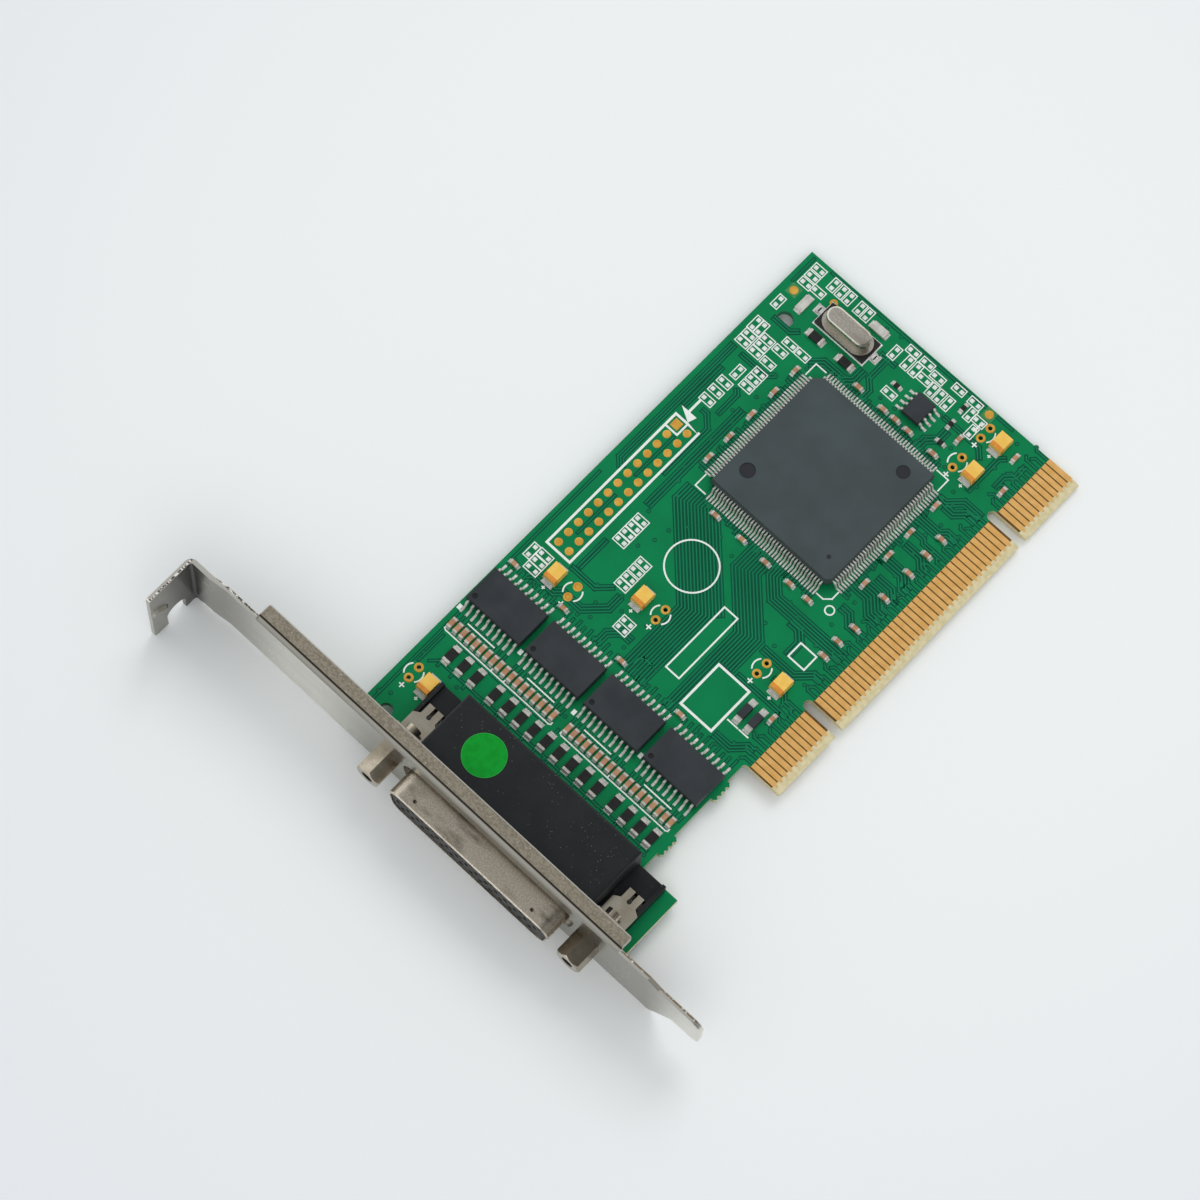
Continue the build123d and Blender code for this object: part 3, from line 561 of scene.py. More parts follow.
FERRITE = Finish("grey_ferrite", (206, 206, 198), (186, 186, 178), 0.5, 0.08, patch=1.0, grain=0.2,
                 depth=0.01, specular=0.35)

FINISH_OF_NODE: dict[str, Finish] = {
    "circuit_board": MASK,
    "front_edge_contacts": GOLD,
    "back_edge_contacts": GOLD,
    "slot_bracket": BRACKET,
    "connector_shell": SHELL,
    "connector_insulator": INSULATOR,
    "connector_housing": HOOD,
    "connector_contacts": TIN,
    "upper_jackscrew": TURNED,
    "lower_jackscrew": TURNED,
    "upper_ground_clip": NICKEL,
    "lower_ground_clip": NICKEL,
    "inspection_dot": STICKER,
    "controller_body": CONTROLLER,
    "controller_leads": TIN,
    "memory_chip_body": EPOXY,
    "memory_chip_leads": TIN,
    "crystal_base": INSULATOR,
    "crystal_can": CAN,
    "crystal_leads": TIN,
    "tantalum_capacitors": TANTALUM,
    "tantalum_terminals": TIN,
    "diodes": EPOXY,
    "diode_terminals": CHIP_END,
    "series_resistors": RESISTOR,
    "array_capacitors": CERAMIC,
    "decoupling_capacitors": CERAMIC,
    "small_resistors": RESISTOR,
    "pull_up_resistors": RESISTOR,
    "ferrite_chips": FERRITE,
}
for number in range(1, 5):
    FINISH_OF_NODE[f"line_driver_{number}_body"] = EPOXY
    FINISH_OF_NODE[f"line_driver_{number}_leads"] = TIN


@dataclass(frozen=True)
class Place:
    """Where a repeated shape goes on the board."""

    x: float
    y: float
    turn: float = 0.0
    side: Side = Side.COMPONENT

    def matrix(self) -> Matrix:
        """Moves a shape modelled at the origin, standing on Z 0, to this place."""
        down = self.side is Side.SOLDER
        height = -BOARD_THICKNESS if down else 0.0
        flip = Matrix.Rotation(math.pi if down else 0.0, 4, "X")
        turn = Matrix.Rotation(math.radians(self.turn), 4, "Z")
        return Matrix.Translation(Vector((self.x, self.y, height)) * MM) @ flip @ turn


class Workpiece:
    """One mesh that is modelled in edit mode with Blender's own tools."""

    def __init__(self, name: str) -> None:
        """Starts an empty mesh and opens it for modelling.

        Args:
            name: Name of the piece.
        """
        bpy.ops.object.select_all(action="DESELECT")
        bpy.ops.object.add(type="MESH")
        self.object = bpy.context.active_object
        self.object.name = name
        self.object.data.name = name
        self.bars = 0
        bpy.ops.object.mode_set(mode="EDIT")

    def block(self, centre: Sequence[float], size: Sequence[float], turn: float = 0.0) -> None:
        """Adds a block.

        Args:
            centre: Its middle.
            size: Its length, width and height before it is turned.
            turn: Its turn about Z in degrees.
        """
        bpy.ops.mesh.primitive_cube_add(
            size=1, location=Vector(centre) * MM, rotation=(0, 0, math.radians(turn)),
            scale=Vector(size) * MM)

    def bar(self, start: Point, end: Point, width: float, heights: Point) -> None:
        """Adds a straight flat line with square ends, at its own height so that lines can cross.

        Args:
            start: Where it starts.
            end: Where it ends.
            width: Its width.
            heights: Height of its underside and its top.
        """
        along = Vector(end) - Vector(start)
        middle = (Vector(start) + Vector(end)) / 2
        low, high = heights
        high += LAYER * (self.bars % LAYERS)
        self.bars += 1
        self.block((middle.x, middle.y, (low + high) / 2), (along.length + width, width, high - low),
                   math.degrees(math.atan2(along.y, along.x)))

    def path(self, points: Sequence[Point], width: float, heights: Point, closed: bool = False) -> None:
        """Adds a line of several straight runs.

        Args:
            points: Its corners in order.
            width: Its width.
            heights: Height of its underside and its top.
            closed: Whether it comes back to its start.
        """
        ends = list(points[1:]) + ([points[0]] if closed else [])
        for start, end in zip(points, ends):
            self.bar(start, end, width, heights)

    def box_outline(self, low: Point, high: Point, width: float, heights: Point) -> None:
        """Adds the four lines of a rectangle."""
        corners = [low, (high[0], low[1]), high, (low[0], high[1])]
        self.path(corners, width, heights, closed=True)

    def arc(self, centre: Point, radius: float, sweep: Point, width: float, heights: Point,
            steps: int = 10) -> None:
        """Adds part of a ring.

        Args:
            centre: Middle of the ring.
            radius: Radius of its middle line.
            sweep: Where it starts and ends, in degrees.
            width: Width of its line.
            heights: Height of its underside and its top.
            steps: Number of straight runs.
        """
        angles = [math.radians(sweep[0] + (sweep[1] - sweep[0]) * k / steps) for k in range(steps + 1)]
        points = [(centre[0] + radius * math.cos(a), centre[1] + radius * math.sin(a)) for a in angles]
        self.path(points, width * 0.98, heights)

    def disc(self, centre: Point, radius: float, heights: Point, top_radius: Optional[float] = None,
             sides: int = 16) -> None:
        """Adds a low round disc, which may narrow to its top.

        Args:
            centre: Its middle.
            radius: Its radius at the bottom.
            heights: Height of its underside and its top.
            top_radius: Its radius at the top, if another.
            sides: Number of its sides.
        """
        low, high = heights
        bpy.ops.mesh.primitive_cone_add(
            vertices=sides, radius1=radius * MM,
            radius2=(radius if top_radius is None else top_radius) * MM, depth=(high - low) * MM,
            location=Vector((centre[0], centre[1], (low + high) / 2)) * MM)

    def pick(self, test: Callable[[Vector], bool]) -> None:
        """Selects the corners whose place, in millimetres, passes a test."""
        mesh = bmesh.from_edit_mesh(self.object.data)
        bpy.ops.mesh.select_mode(type="VERT")
        for corner in mesh.verts:
            corner.select_set(bool(test(corner.co / MM)))
        mesh.select_flush_mode()
        bmesh.update_edit_mesh(self.object.data)

    def shift(self, x: float = 0.0, y: float = 0.0, z: float = 0.0) -> None:
        """Moves what is selected."""
        bpy.ops.transform.translate(value=Vector((x, y, z)) * MM)

    def close(self) -> bpy.types.Object:
        """Ends the modelling.

        Returns:
            The mesh object.
        """
        bpy.ops.object.mode_set(mode="OBJECT")
        bpy.ops.object.select_all(action="DESELECT")
        return self.object


def round_edges(piece: bpy.types.Object, width: float, segments: int = 1) -> None:
    """Rounds a piece's edges with a bevel that is applied.

    Args:
        piece: The mesh object.
        width: Width of the bevel in millimetres.
        segments: Number of its steps.
    """
    bpy.context.view_layer.objects.active = piece
    piece.select_set(True)
    bevel = piece.modifiers.new("soft_edges", "BEVEL")
    bevel.width = width * MM
    bevel.segments = segments
    bevel.limit_method = "ANGLE"
    bpy.ops.object.modifier_apply(modifier=bevel.name)
    piece.select_set(False)


def stamp(master: bpy.types.Object, places: Iterable[Place]) -> bpy.types.Object:
    """Repeats a modelled shape, each copy with its own mesh, and joins the copies.

    Args:
        master: The shape, modelled at the origin.
        places: Where the copies go.

    Returns:
        One object with the master's name that holds all the copies.
    """
    name = master.name
    copies = []
    for place in places:
        copy = master.copy()
        copy.data = master.data.copy()
        copy.data.transform(place.matrix())
        bpy.context.scene.collection.objects.link(copy)
        copies.append(copy)
    bpy.data.objects.remove(master)
    return merge(name, copies)


def finish_piece(piece: bpy.types.Object, finish: Finish) -> bpy.types.Object:
    """Gives a piece its finish, ties it to the card and reports it.

    Args:
        piece: The mesh object.
        finish: Its finish.

    Returns:
        The same object.
    """
    piece.data.materials.clear()
    piece.data.materials.append(finish.material())
    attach(piece, BODY)
    log.info("%s: %d faces", piece.name, len(piece.data.polygons))
    return piece


def merge(name: str, parts: Sequence[bpy.types.Object]) -> bpy.types.Object:
    """Joins several meshes into one named object."""
    bpy.ops.object.select_all(action="DESELECT")
    for part in parts:
        part.select_set(True)
    bpy.context.view_layer.objects.active = parts[0]
    bpy.ops.object.join()
    joined = bpy.context.active_object
    joined.name = name
    joined.data.name = name
    joined.select_set(False)
    return joined


def offset_path(points: Sequence[Point], distance: float) -> list[Point]:
    """Moves a line sideways so that it stays parallel to itself.

    Args:
        points: Corners of the line.
        distance: How far to its left, in millimetres.

    Returns:
        Corners of the moved line.
    """
    runs = [(Vector(b) - Vector(a)).normalized() for a, b in zip(points, points[1:])]
    left = [Vector((-run.y, run.x)) for run in runs]
    moved = []
    for k, point in enumerate(points):
        first = left[max(k - 1, 0)]
        second = left[min(k, len(left) - 1)]
        lean = (first + second).normalized()
        moved.append(tuple(Vector(point) + lean * distance / max(lean.dot(first), 0.3)))
    return moved


@dataclass(frozen=True)
class Bundle:
    """Parallel tracks that run side by side, each to the left of the one before."""

    line: tuple[Point, ...]
    count: int = 1
    pitch: float = 0.56

    def lines(self) -> list[list[Point]]:
        """Each track's corners."""
        return [offset_path(self.line, k * self.pitch) for k in range(self.count)]


@dataclass(frozen=True)
class PadGroup:
    """Unfitted chip places: pads in pairs, each pair in its printed box."""

    xs: tuple[float, ...]
    ys: tuple[float, ...]
    upright: bool = True

    def pairs(self) -> list[tuple[Point, Point]]:
        """The two pads of each place."""
        if self.upright:
            rows = list(zip(self.ys[0::2], self.ys[1::2]))
            return [((x, a), (x, b)) for x in self.xs for a, b in rows]
        columns = list(zip(self.xs[0::2], self.xs[1::2]))
        return [((a, y), (b, y)) for a, b in columns for y in self.ys]


CONTROLLER_CENTRE: Point = (-16.37, 33.11)
CONTROLLER_LEADS = 40
CONTROLLER_PITCH = 0.65
DRIVER_LEADS = 10
DRIVER_PITCH = 1.27
SERIES_RESISTOR_YS: tuple[float, ...] = (
    58.25, 55.23, 52.23, 47.81, 44.63, 41.63, 38.56, 35.59,
    32.57, 29.56, 26.51, 23.47, 19.48, 16.44, 13.49, 10.63,
)
PAD_GROUPS: tuple[PadGroup, ...] = (
    PadGroup((-61.9, -60.1), (61.37,), upright=False),
    PadGroup((-63.4, -61.8, -60.1), (59.9, 58.2)),
    PadGroup((-48.8, -47.1, -45.4, -43.7), (52.1, 50.6)),
    PadGroup((-54.6, -52.9, -51.1, -49.3), (46.3, 44.8)),
    PadGroup((-60.6, -59.1), (41.0, 39.4)),
    PadGroup((-18.9, -16.6, -14.3), (59.1, 57.6)),
    PadGroup((-12.0, -10.5), (58.0,), upright=False),
    PadGroup((-12.2, -10.4, -8.8), (55.7, 54.3)),
    PadGroup((-6.3, -4.6), (62.0, 60.6)),
    PadGroup((-3.1, -1.35), (62.0, 60.6), upright=False),
    PadGroup((-6.3, -4.6, -3.1), (59.0, 57.6)),
    PadGroup((-6.3, -3.1), (56.0, 54.5)),
    PadGroup((-0.9,), (55.6, 54.1, 52.6, 51.1)),
    PadGroup((3.0, 4.45), (61.9,), upright=False),
    PadGroup((9.7, 11.5, 13.3), (61.4, 60.0)),
    PadGroup((10.05,), (58.8, 57.3)),
    PadGroup((12.3, 13.7), (56.8, 54.9, 53.1), upright=False),
    PadGroup((12.2, 13.6), (50.4, 48.6), upright=False),
    PadGroup((10.2, 11.7), (40.3,), upright=False),
    PadGroup((13.4,), (38.7, 37.3, 35.4, 33.9)),
    PadGroup((10.3, 11.9), (37.3, 35.4), upright=False),
    PadGroup((10.8,), (33.9, 32.3)),
    PadGroup((12.7,), (32.3, 30.7)),
    PadGroup((9.5, 11.0), (30.7, 28.9, 27.0), upright=False),
    PadGroup((13.65,), (27.9, 26.6)),
    PadGroup((13.7,), (24.2, 22.7)),
    PadGroup((10.8, 12.3), (22.7,), upright=False),
    PadGroup((11.6,), (21.4, 20.0)),
    PadGroup((8.5, 9.9), (20.4,), upright=False),
    PadGroup((4.5,), (36.6, 35.1)),
)


@dataclass
class BoardCopper:
    """Masked tracks, vias and bare lands on both sides of the board."""

    track_width: float = 0.23
    track_heights: Point = (-0.02, 0.022)
    clearing_width: float = 0.7
    clearing_heights: Point = (-0.02, 0.008)
    land_heights: Point = (-0.02, 0.07)
    land_radius: float = 0.82
    land_crown: float = 0.62
    header_first: Point = (-26.07, 59.12)
    header_columns: int = 13
    header_pitch: float = 2.54
    pad_size: float = 0.78
    ring_radius: float = 0.64
    ring_bead: float = 0.23
    via_radius: float = 0.3
    radial_places: tuple[Point, ...] = (
        (-91.4, 60.83), (-61.55, 51.0), (-54.0, 37.02), (-48.95, 17.6), (3.2, 18.36), (10.8, 18.4),
    )
    radial_spacing: float = 2.55
    target_places: tuple[Point, ...] = ((7.27, 61.37), (13.88, 20.26))
    target_radius: float = 0.86
    target_clearing: float = 2.3
    square_land_size: float = 1.75
    single_ring: Point = (10.4, 54.5)
    stub_reaches: tuple[float, ...] = (0.9, 1.7, 0.6, 2.2, 1.2, 0.8, 1.9)
    bundles: tuple[Bundle, ...] = (
        Bundle(((-65.4, 36.0), (-50.6, 36.0), (-36.4, 50.2), (-32.9, 50.2)), 10, -0.6),
        Bundle(((-47.9, 30.2), (-33.9, 44.2), (-32.9, 44.2)), 4, -0.6),
        Bundle(((-65.4, 25.6), (-47.2, 25.6), (-38.6, 34.2), (-32.9, 34.2)), 4, -0.6),
        Bundle(((-53.0, 23.2), (-46.2, 23.2), (-37.6, 31.8), (-32.9, 31.8)), 5, -0.6),
        Bundle(((-36.8, 8.6), (-36.8, 24.2), (-34.6, 26.4), (-32.9, 26.4)), 5),
        Bundle(((-43.0, 8.6), (-43.0, 10.4), (-45.6, 13.0), (-45.6, 19.8)), 3),
        Bundle(((-29.4, 8.6), (-29.4, 11.0), (-27.2, 13.2), (-27.2, 16.2)), 6, -0.6),
        Bundle(((-21.8, 8.6), (-21.8, 9.8), (-20.0, 11.6), (-20.0, 16.2)), 4, -0.6),
        Bundle(((-12.0, 8.6), (-12.0, 12.4), (-11.4, 13.0), (-11.4, 16.2)), 2),
        Bundle(((-7.4, 8.6), (-7.4, 11.0), (-8.4, 12.0), (-8.4, 16.2)), 4),
        Bundle(((-1.0, 8.6), (-1.0, 12.6), (-3.4, 15.0), (-3.4, 16.2)), 3),
        Bundle(((-60.6, 8.6), (-60.6, 10.0), (-62.8, 12.2), (-62.8, 15.4)), 3),
        Bundle(((-52.4, 8.6), (-52.4, 19.8)), 2),
        Bundle(((-65.2, 58.6), (-64.4, 57.8), (-64.4, 53.2), (-63.4, 52.2), (-63.4, 47.6),
                (-59.6, 43.8), (-56.6, 43.8)), 3),
        Bundle(((-65.2, 41.0), (-63.2, 41.0), (-61.6, 39.4), (-61.6, 37.6)), 3),
        Bundle(((-58.6, 54.2), (-58.6, 48.6), (-56.2, 46.2)), 2),
        Bundle(((-57.4, 53.6), (-50.6, 53.6)), 2, -0.6),
        Bundle(((-40.6, 53.1), (-16.2, 53.1)), 3, -0.6),
        Bundle(((-34.4, 54.3), (-22.8, 54.3), (-20.6, 56.5), (-20.6, 57.6)), 2),
        Bundle(((-38.0, 57.86), (-28.2, 57.86))),
        Bundle(((-53.0, 57.86), (-43.4, 57.86))),
        Bundle(((-39.0, 61.2), (-37.6, 62.6), (-8.0, 62.6)), 3, -0.5),
        Bundle(((-64.6, 62.9), (-42.0, 62.9))),
        Bundle(((-104.0, 62.7), (-80.6, 62.7))),
        Bundle(((-89.2, 61.8), (-83.0, 61.8))),
        Bundle(((-19.4, 54.9), (-14.4, 54.9), (-13.6, 55.7)), 2),
        Bundle(((0.2, 44.6), (2.2, 42.6), (4.4, 42.6)), 3, -0.6),
        Bundle(((0.0, 38.4), (2.6, 38.4), (4.2, 40.0), (9.4, 40.0)), 2),
        Bundle(((0.0, 26.0), (2.6, 26.0), (4.4, 24.2), (6.2, 24.2)), 3, -0.6),
        Bundle(((7.9, 41.8), (9.4, 41.8), (9.4, 38.6)), 2, -0.6),
        Bundle(((14.5, 15.4), (14.5, 58.6))),
        Bundle(((7.6, 25.6), (7.6, 17.6), (6.2, 16.2)), 2),
        Bundle(((0.6, 13.2), (8.6, 13.2), (9.4, 12.4)), 2),
        Bundle(((-44.0, 16.6), (-41.2, 16.6), (-39.8, 18.0), (-39.8, 19.6)), 3, -0.6),
        Bundle(((-50.6, 8.6), (-50.6, 10.4), (-48.6, 12.4), (-48.6, 14.8)), 2),
        Bundle(((-33.2, 8.6), (-33.2, 12.0), (-31.6, 13.6), (-31.6, 15.0)), 3, -0.6),
        Bundle(((-24.8, 8.6), (-24.8, 9.6), (-23.2, 11.2), (-23.2, 14.0)), 3, -0.6),
        Bundle(((-16.6, 8.6), (-16.6, 10.0), (-15.2, 11.4), (-15.2, 14.6)), 3, -0.6),
        Bundle(((-3.6, 8.6), (-3.6, 10.6), (-5.2, 12.2), (-5.2, 14.4)), 3, -0.6),
        Bundle(((4.4, 10.8), (7.0, 10.8), (8.4, 9.4), (10.8, 9.4)), 2, -0.6),
        Bundle(((-0.6, 50.4), (1.4, 48.4), (1.4, 43.6)), 3, -0.6),
        Bundle(((-8.6, 59.8), (-8.6, 53.8), (-7.4, 52.6)), 2),
        Bundle(((0.6, 60.4), (0.6, 56.4), (1.8, 55.2)), 2),
        Bundle(((-22.4, 60.9), (-12.6, 60.9)), 2, -0.55),
        Bundle(((8.6, 62.8), (14.3, 62.8))),
        Bundle(((-88.0, 60.4), (-86.8, 59.2), (-86.8, 9.8))),
        Bundle(((-82.3, 58.4), (-82.3, 38.4))),
        Bundle(((-63.6, 34.4), (-62.6, 34.4), (-61.8, 33.6), (-61.8, 31.6))),
    )
    vias: tuple[Point, ...] = (
        (-64.2, 62.4), (-62.6, 56.0), (-65.3, 56.8), (-65.4, 52.0), (-64.0, 47.6), (-65.2, 42.6),
        (-62.8, 45.6), (-60.2, 46.8), (-57.6, 48.8), (-56.2, 44.2), (-58.2, 42.4), (-56.0, 40.6),
        (-62.8, 37.6), (-57.2, 37.4), (-65.2, 30.2), (-62.0, 30.6), (-64.4, 25.2), (-64.6, 21.6),
        (-65.2, 18.0), (-64.6, 14.2), (-62.2, 12.0), (-61.6, 9.6), (-53.0, 14.6), (-51.6, 10.6),
        (-47.0, 12.0), (-46.0, 10.2), (-44.4, 18.8), (-42.4, 22.8), (-39.4, 13.6), (-37.8, 19.4),
        (-36.6, 22.2), (-36.4, 33.0), (-37.4, 35.4), (-36.2, 39.2), (-38.8, 44.6), (-41.6, 46.6),
        (-44.6, 47.2), (-47.4, 48.6), (-41.4, 51.6), (-35.8, 49.8), (-33.6, 51.6), (-31.0, 52.6),
        (-28.4, 51.2), (-24.0, 52.6), (-19.0, 52.4), (-17.2, 53.8), (-12.4, 52.4), (-7.0, 52.6),
        (-2.2, 49.6), (0.2, 47.4), (1.6, 43.4), (3.4, 42.0), (4.4, 40.4), (2.8, 36.4),
        (3.0, 33.2), (3.4, 27.2), (7.8, 26.4), (2.6, 25.2), (4.4, 21.0), (1.0, 19.4),
        (-1.4, 15.2), (-3.4, 13.6), (-7.6, 12.6), (-10.8, 13.4), (-15.0, 12.6), (-17.0, 8.9),
        (-20.2, 12.2), (-22.6, 9.2), (-26.4, 12.4), (-28.8, 14.0), (-30.4, 9.4), (-34.6, 14.2),
        (-31.0, 14.4), (-8.2, 9.0), (-1.6, 9.8), (2.2, 12.8), (7.0, 12.8), (13.2, 13.0),
        (6.4, 44.2), (13.4, 44.4), (14.0, 41.4), (8.6, 42.0), (-78.8, 61.4), (-87.6, 62.2),
        (-86.9, 50.0), (-87.2, 33.9), (-86.9, 21.5), (-79.0, 36.4), (-79.2, 51.0), (-79.1, 22.6),
        (-96.8, 61.2), (-101.9, 62.1), (-98.0, 63.0), (-91.0, 53.4), (-88.2, 53.6), (-87.7, 9.6),
    )

    def header_places(self) -> list[Place]:
        """Places of the header's two rows of lands."""
        x, y = self.header_first
        return [Place(x - column * self.header_pitch, y - row * self.header_pitch)
                for row in range(2) for column in range(self.header_columns)]

    def build(self) -> None:
        """Models all the copper."""
        self.build_tracks()
        self.build_vias()
        self.build_lands()
        self.build_rings()
        self.build_pads()
        self.build_finger_tails()

    def stubs(self) -> list[list[Point]]:
        """Short tracks that leave the chips' leads and the edge contacts.

        Returns:
            Corners of each, the outer end last.
        """
        made = []
        reaches = self.stub_reaches
        for k, x in enumerate(EdgeContacts().places()):
            reach = reaches[k % len(reaches)]
            lean = 0.5 if k % 2 else -0.5
            made.append([(x, 7.1), (x, 7.9 + reach), (x + lean, 8.4 + reach)])
        for row, middle in enumerate(DRIVER_ROWS):
            for k in range(DRIVER_LEADS):
                y = middle + (k - (DRIVER_LEADS - 1) / 2) * DRIVER_PITCH
                made.append([(-66.0, y), (-65.4 + 0.5 * reaches[(k + row) % len(reaches)], y)])
                made.append([(-79.2, y), (-77.9, y)])
        centre_x, centre_y = CONTROLLER_CENTRE
        for side in range(4):
            turn = math.radians(90 * side)
            for k in range(CONTROLLER_LEADS):
                along = (k - (CONTROLLER_LEADS - 1) / 2) * CONTROLLER_PITCH
                far = 16.5 + 0.5 * reaches[(k * 3 + side) % len(reaches)]
                made.append([(centre_x + reach * math.cos(turn) - along * math.sin(turn),
                              centre_y + reach * math.sin(turn) + along * math.cos(turn))
                             for reach in (16.2, far)])
        for y in SERIES_RESISTOR_YS:
            made.append([(-87.6, y + 0.5), (-86.4, y + 0.5)])
            made.append([(-82.9, y), (-81.6, y)])
        return made

    def build_tracks(self) -> None:
        """Tracks under the mask, each on a darker strip where the copper is cleared away."""
        lines = [line for bundle in self.bundles for line in bundle.lines()] + self.stubs()
        for name, width, heights, finish in (
            ("track_clearings", self.clearing_width, self.clearing_heights, FIELD),
            ("masked_tracks", self.track_width, self.track_heights, TRACK),
        ):
            work = Workpiece(name)
            for line in lines:
                work.path(line, width, heights)
            finish_piece(work.close(), finish)

    def build_vias(self) -> None:
        """Vias: a dark clearing, a low green mound and a dark middle."""
        ends = [line[-1] for line in self.stubs()]
        spots = [Place(x, y) for x, y in list(self.vias) + ends[::3]]
        for name, radius, top, sides, finish in (
            ("via_clearings", self.via_radius * 1.6, 0.017, 8, FIELD),
            ("via_mounds", self.via_radius, 0.032, 8, TRACK),
            ("via_middles", self.via_radius * 0.45, 0.038, 6, VIA_MIDDLE),
        ):
            work = Workpiece(name)
            work.disc((0, 0), radius, (-0.02, top), radius * 0.85, sides=sides)
            finish_piece(stamp(work.close(), spots), finish)

    def build_lands(self) -> None:
        """Gold lands of the unfitted header, the first one square, and two round targets."""
        work = Workpiece("header_lands")
        work.disc((0, 0), self.land_radius, self.land_heights, self.land_crown, sides=16)
        square, *rest = self.header_places()
        lands = stamp(work.close(), rest)
        work = Workpiece("square_land")
        low, high = self.land_heights
        work.block((0, 0, (low + high) / 2), (self.square_land_size, self.square_land_size, high - low))
        first = work.close()
        round_edges(first, 0.04)
        first = stamp(first, [square])
        finish_piece(merge("header_lands", [lands, first]), LAND)
        work = Workpiece("target_dots")
        work.disc((0, 0), self.target_radius, self.land_heights, 0.8, sides=20)
        spots = [Place(*p) for p in self.target_places]
        finish_piece(stamp(work.close(), spots), LAND)
        work = Workpiece("target_clearings")
        work.block((0, 0, 0), (self.target_clearing, self.target_clearing, 0.03))
        finish_piece(stamp(work.close(), spots), CLEARING)

    def build_rings(self) -> None:
        """Gold rings round the holes of the unfitted radial parts, on both sides."""
        shift = self.radial_spacing / 2
        places = []
        for side in Side:
            places += [Place(x + s * shift, y, side=side) for x, y in self.radial_places for s in (-1, 1)]
        work = Workpiece("radial_rings")
        bpy.ops.mesh.primitive_torus_add(
            major_radius=self.ring_radius * MM, minor_radius=self.ring_bead * MM,
            major_segments=16, minor_segments=6)
        bpy.ops.transform.resize(value=(1, 1, 0.35))
        finish_piece(stamp(work.close(), places), LAND)
        bpy.ops.object.select_all(action="DESELECT")
        work = Workpiece("ring_via")
        bpy.ops.mesh.primitive_torus_add(
            major_radius=0.52 * MM, minor_radius=0.24 * MM, major_segments=16, minor_segments=6)
        bpy.ops.transform.resize(value=(1, 1, 0.35))
        finish_piece(stamp(work.close(), [Place(*self.single_ring)]), LAND)
        work = Workpiece("filled_holes")
        work.disc((0, 0), 0.5, (-0.3, 0.08), 0.4, sides=12)
        x, y = self.radial_places[1]
        filled = stamp(work.close(), [Place(x - shift, y), Place(x + shift, y)])
        finish_piece(filled, LAND)

    def build_pads(self) -> None:
        """Tinned pads of the unfitted chip places."""
        work = Workpiece("empty_pads")
        work.block((0, 0, 0.02), (self.pad_size, self.pad_size, 0.1))
        master = work.close()
        round_edges(master, 0.05)
        places = [Place(*pad) for group in PAD_GROUPS for pair in group.pairs() for pad in pair]
        finish_piece(stamp(master, places), PAD)

    def build_finger_tails(self) -> None:
        """Short plating stubs from each component side contact down to the bevel."""
        work = Workpiece("contact_tails")
        work.block((0, 1.5, 0.01), (0.26, 0.6, 0.04))
        work.disc((0, 1.37), 0.24, (-0.01, 0.05), 0.18, sides=8)
        master = work.close()
        spots = [Place(x, 0.0) for x in EdgeContacts().places()]
        finish_piece(stamp(master, spots), GOLD)


@dataclass
class EdgeContacts:
    """Where the gold contacts are along the tongue."""

    pitch: float = 1.27
    count: int = 62
    near_key: float = 50.5
    far_key: float = 12.5

    def places(self) -> list[float]:
        """Middle of each contact along X."""
        kept = [k for k in range(1, self.count + 1)
                if all(abs(k - key) > 1 for key in (self.near_key, self.far_key))]
        return [(k - self.near_key) * self.pitch for k in kept]


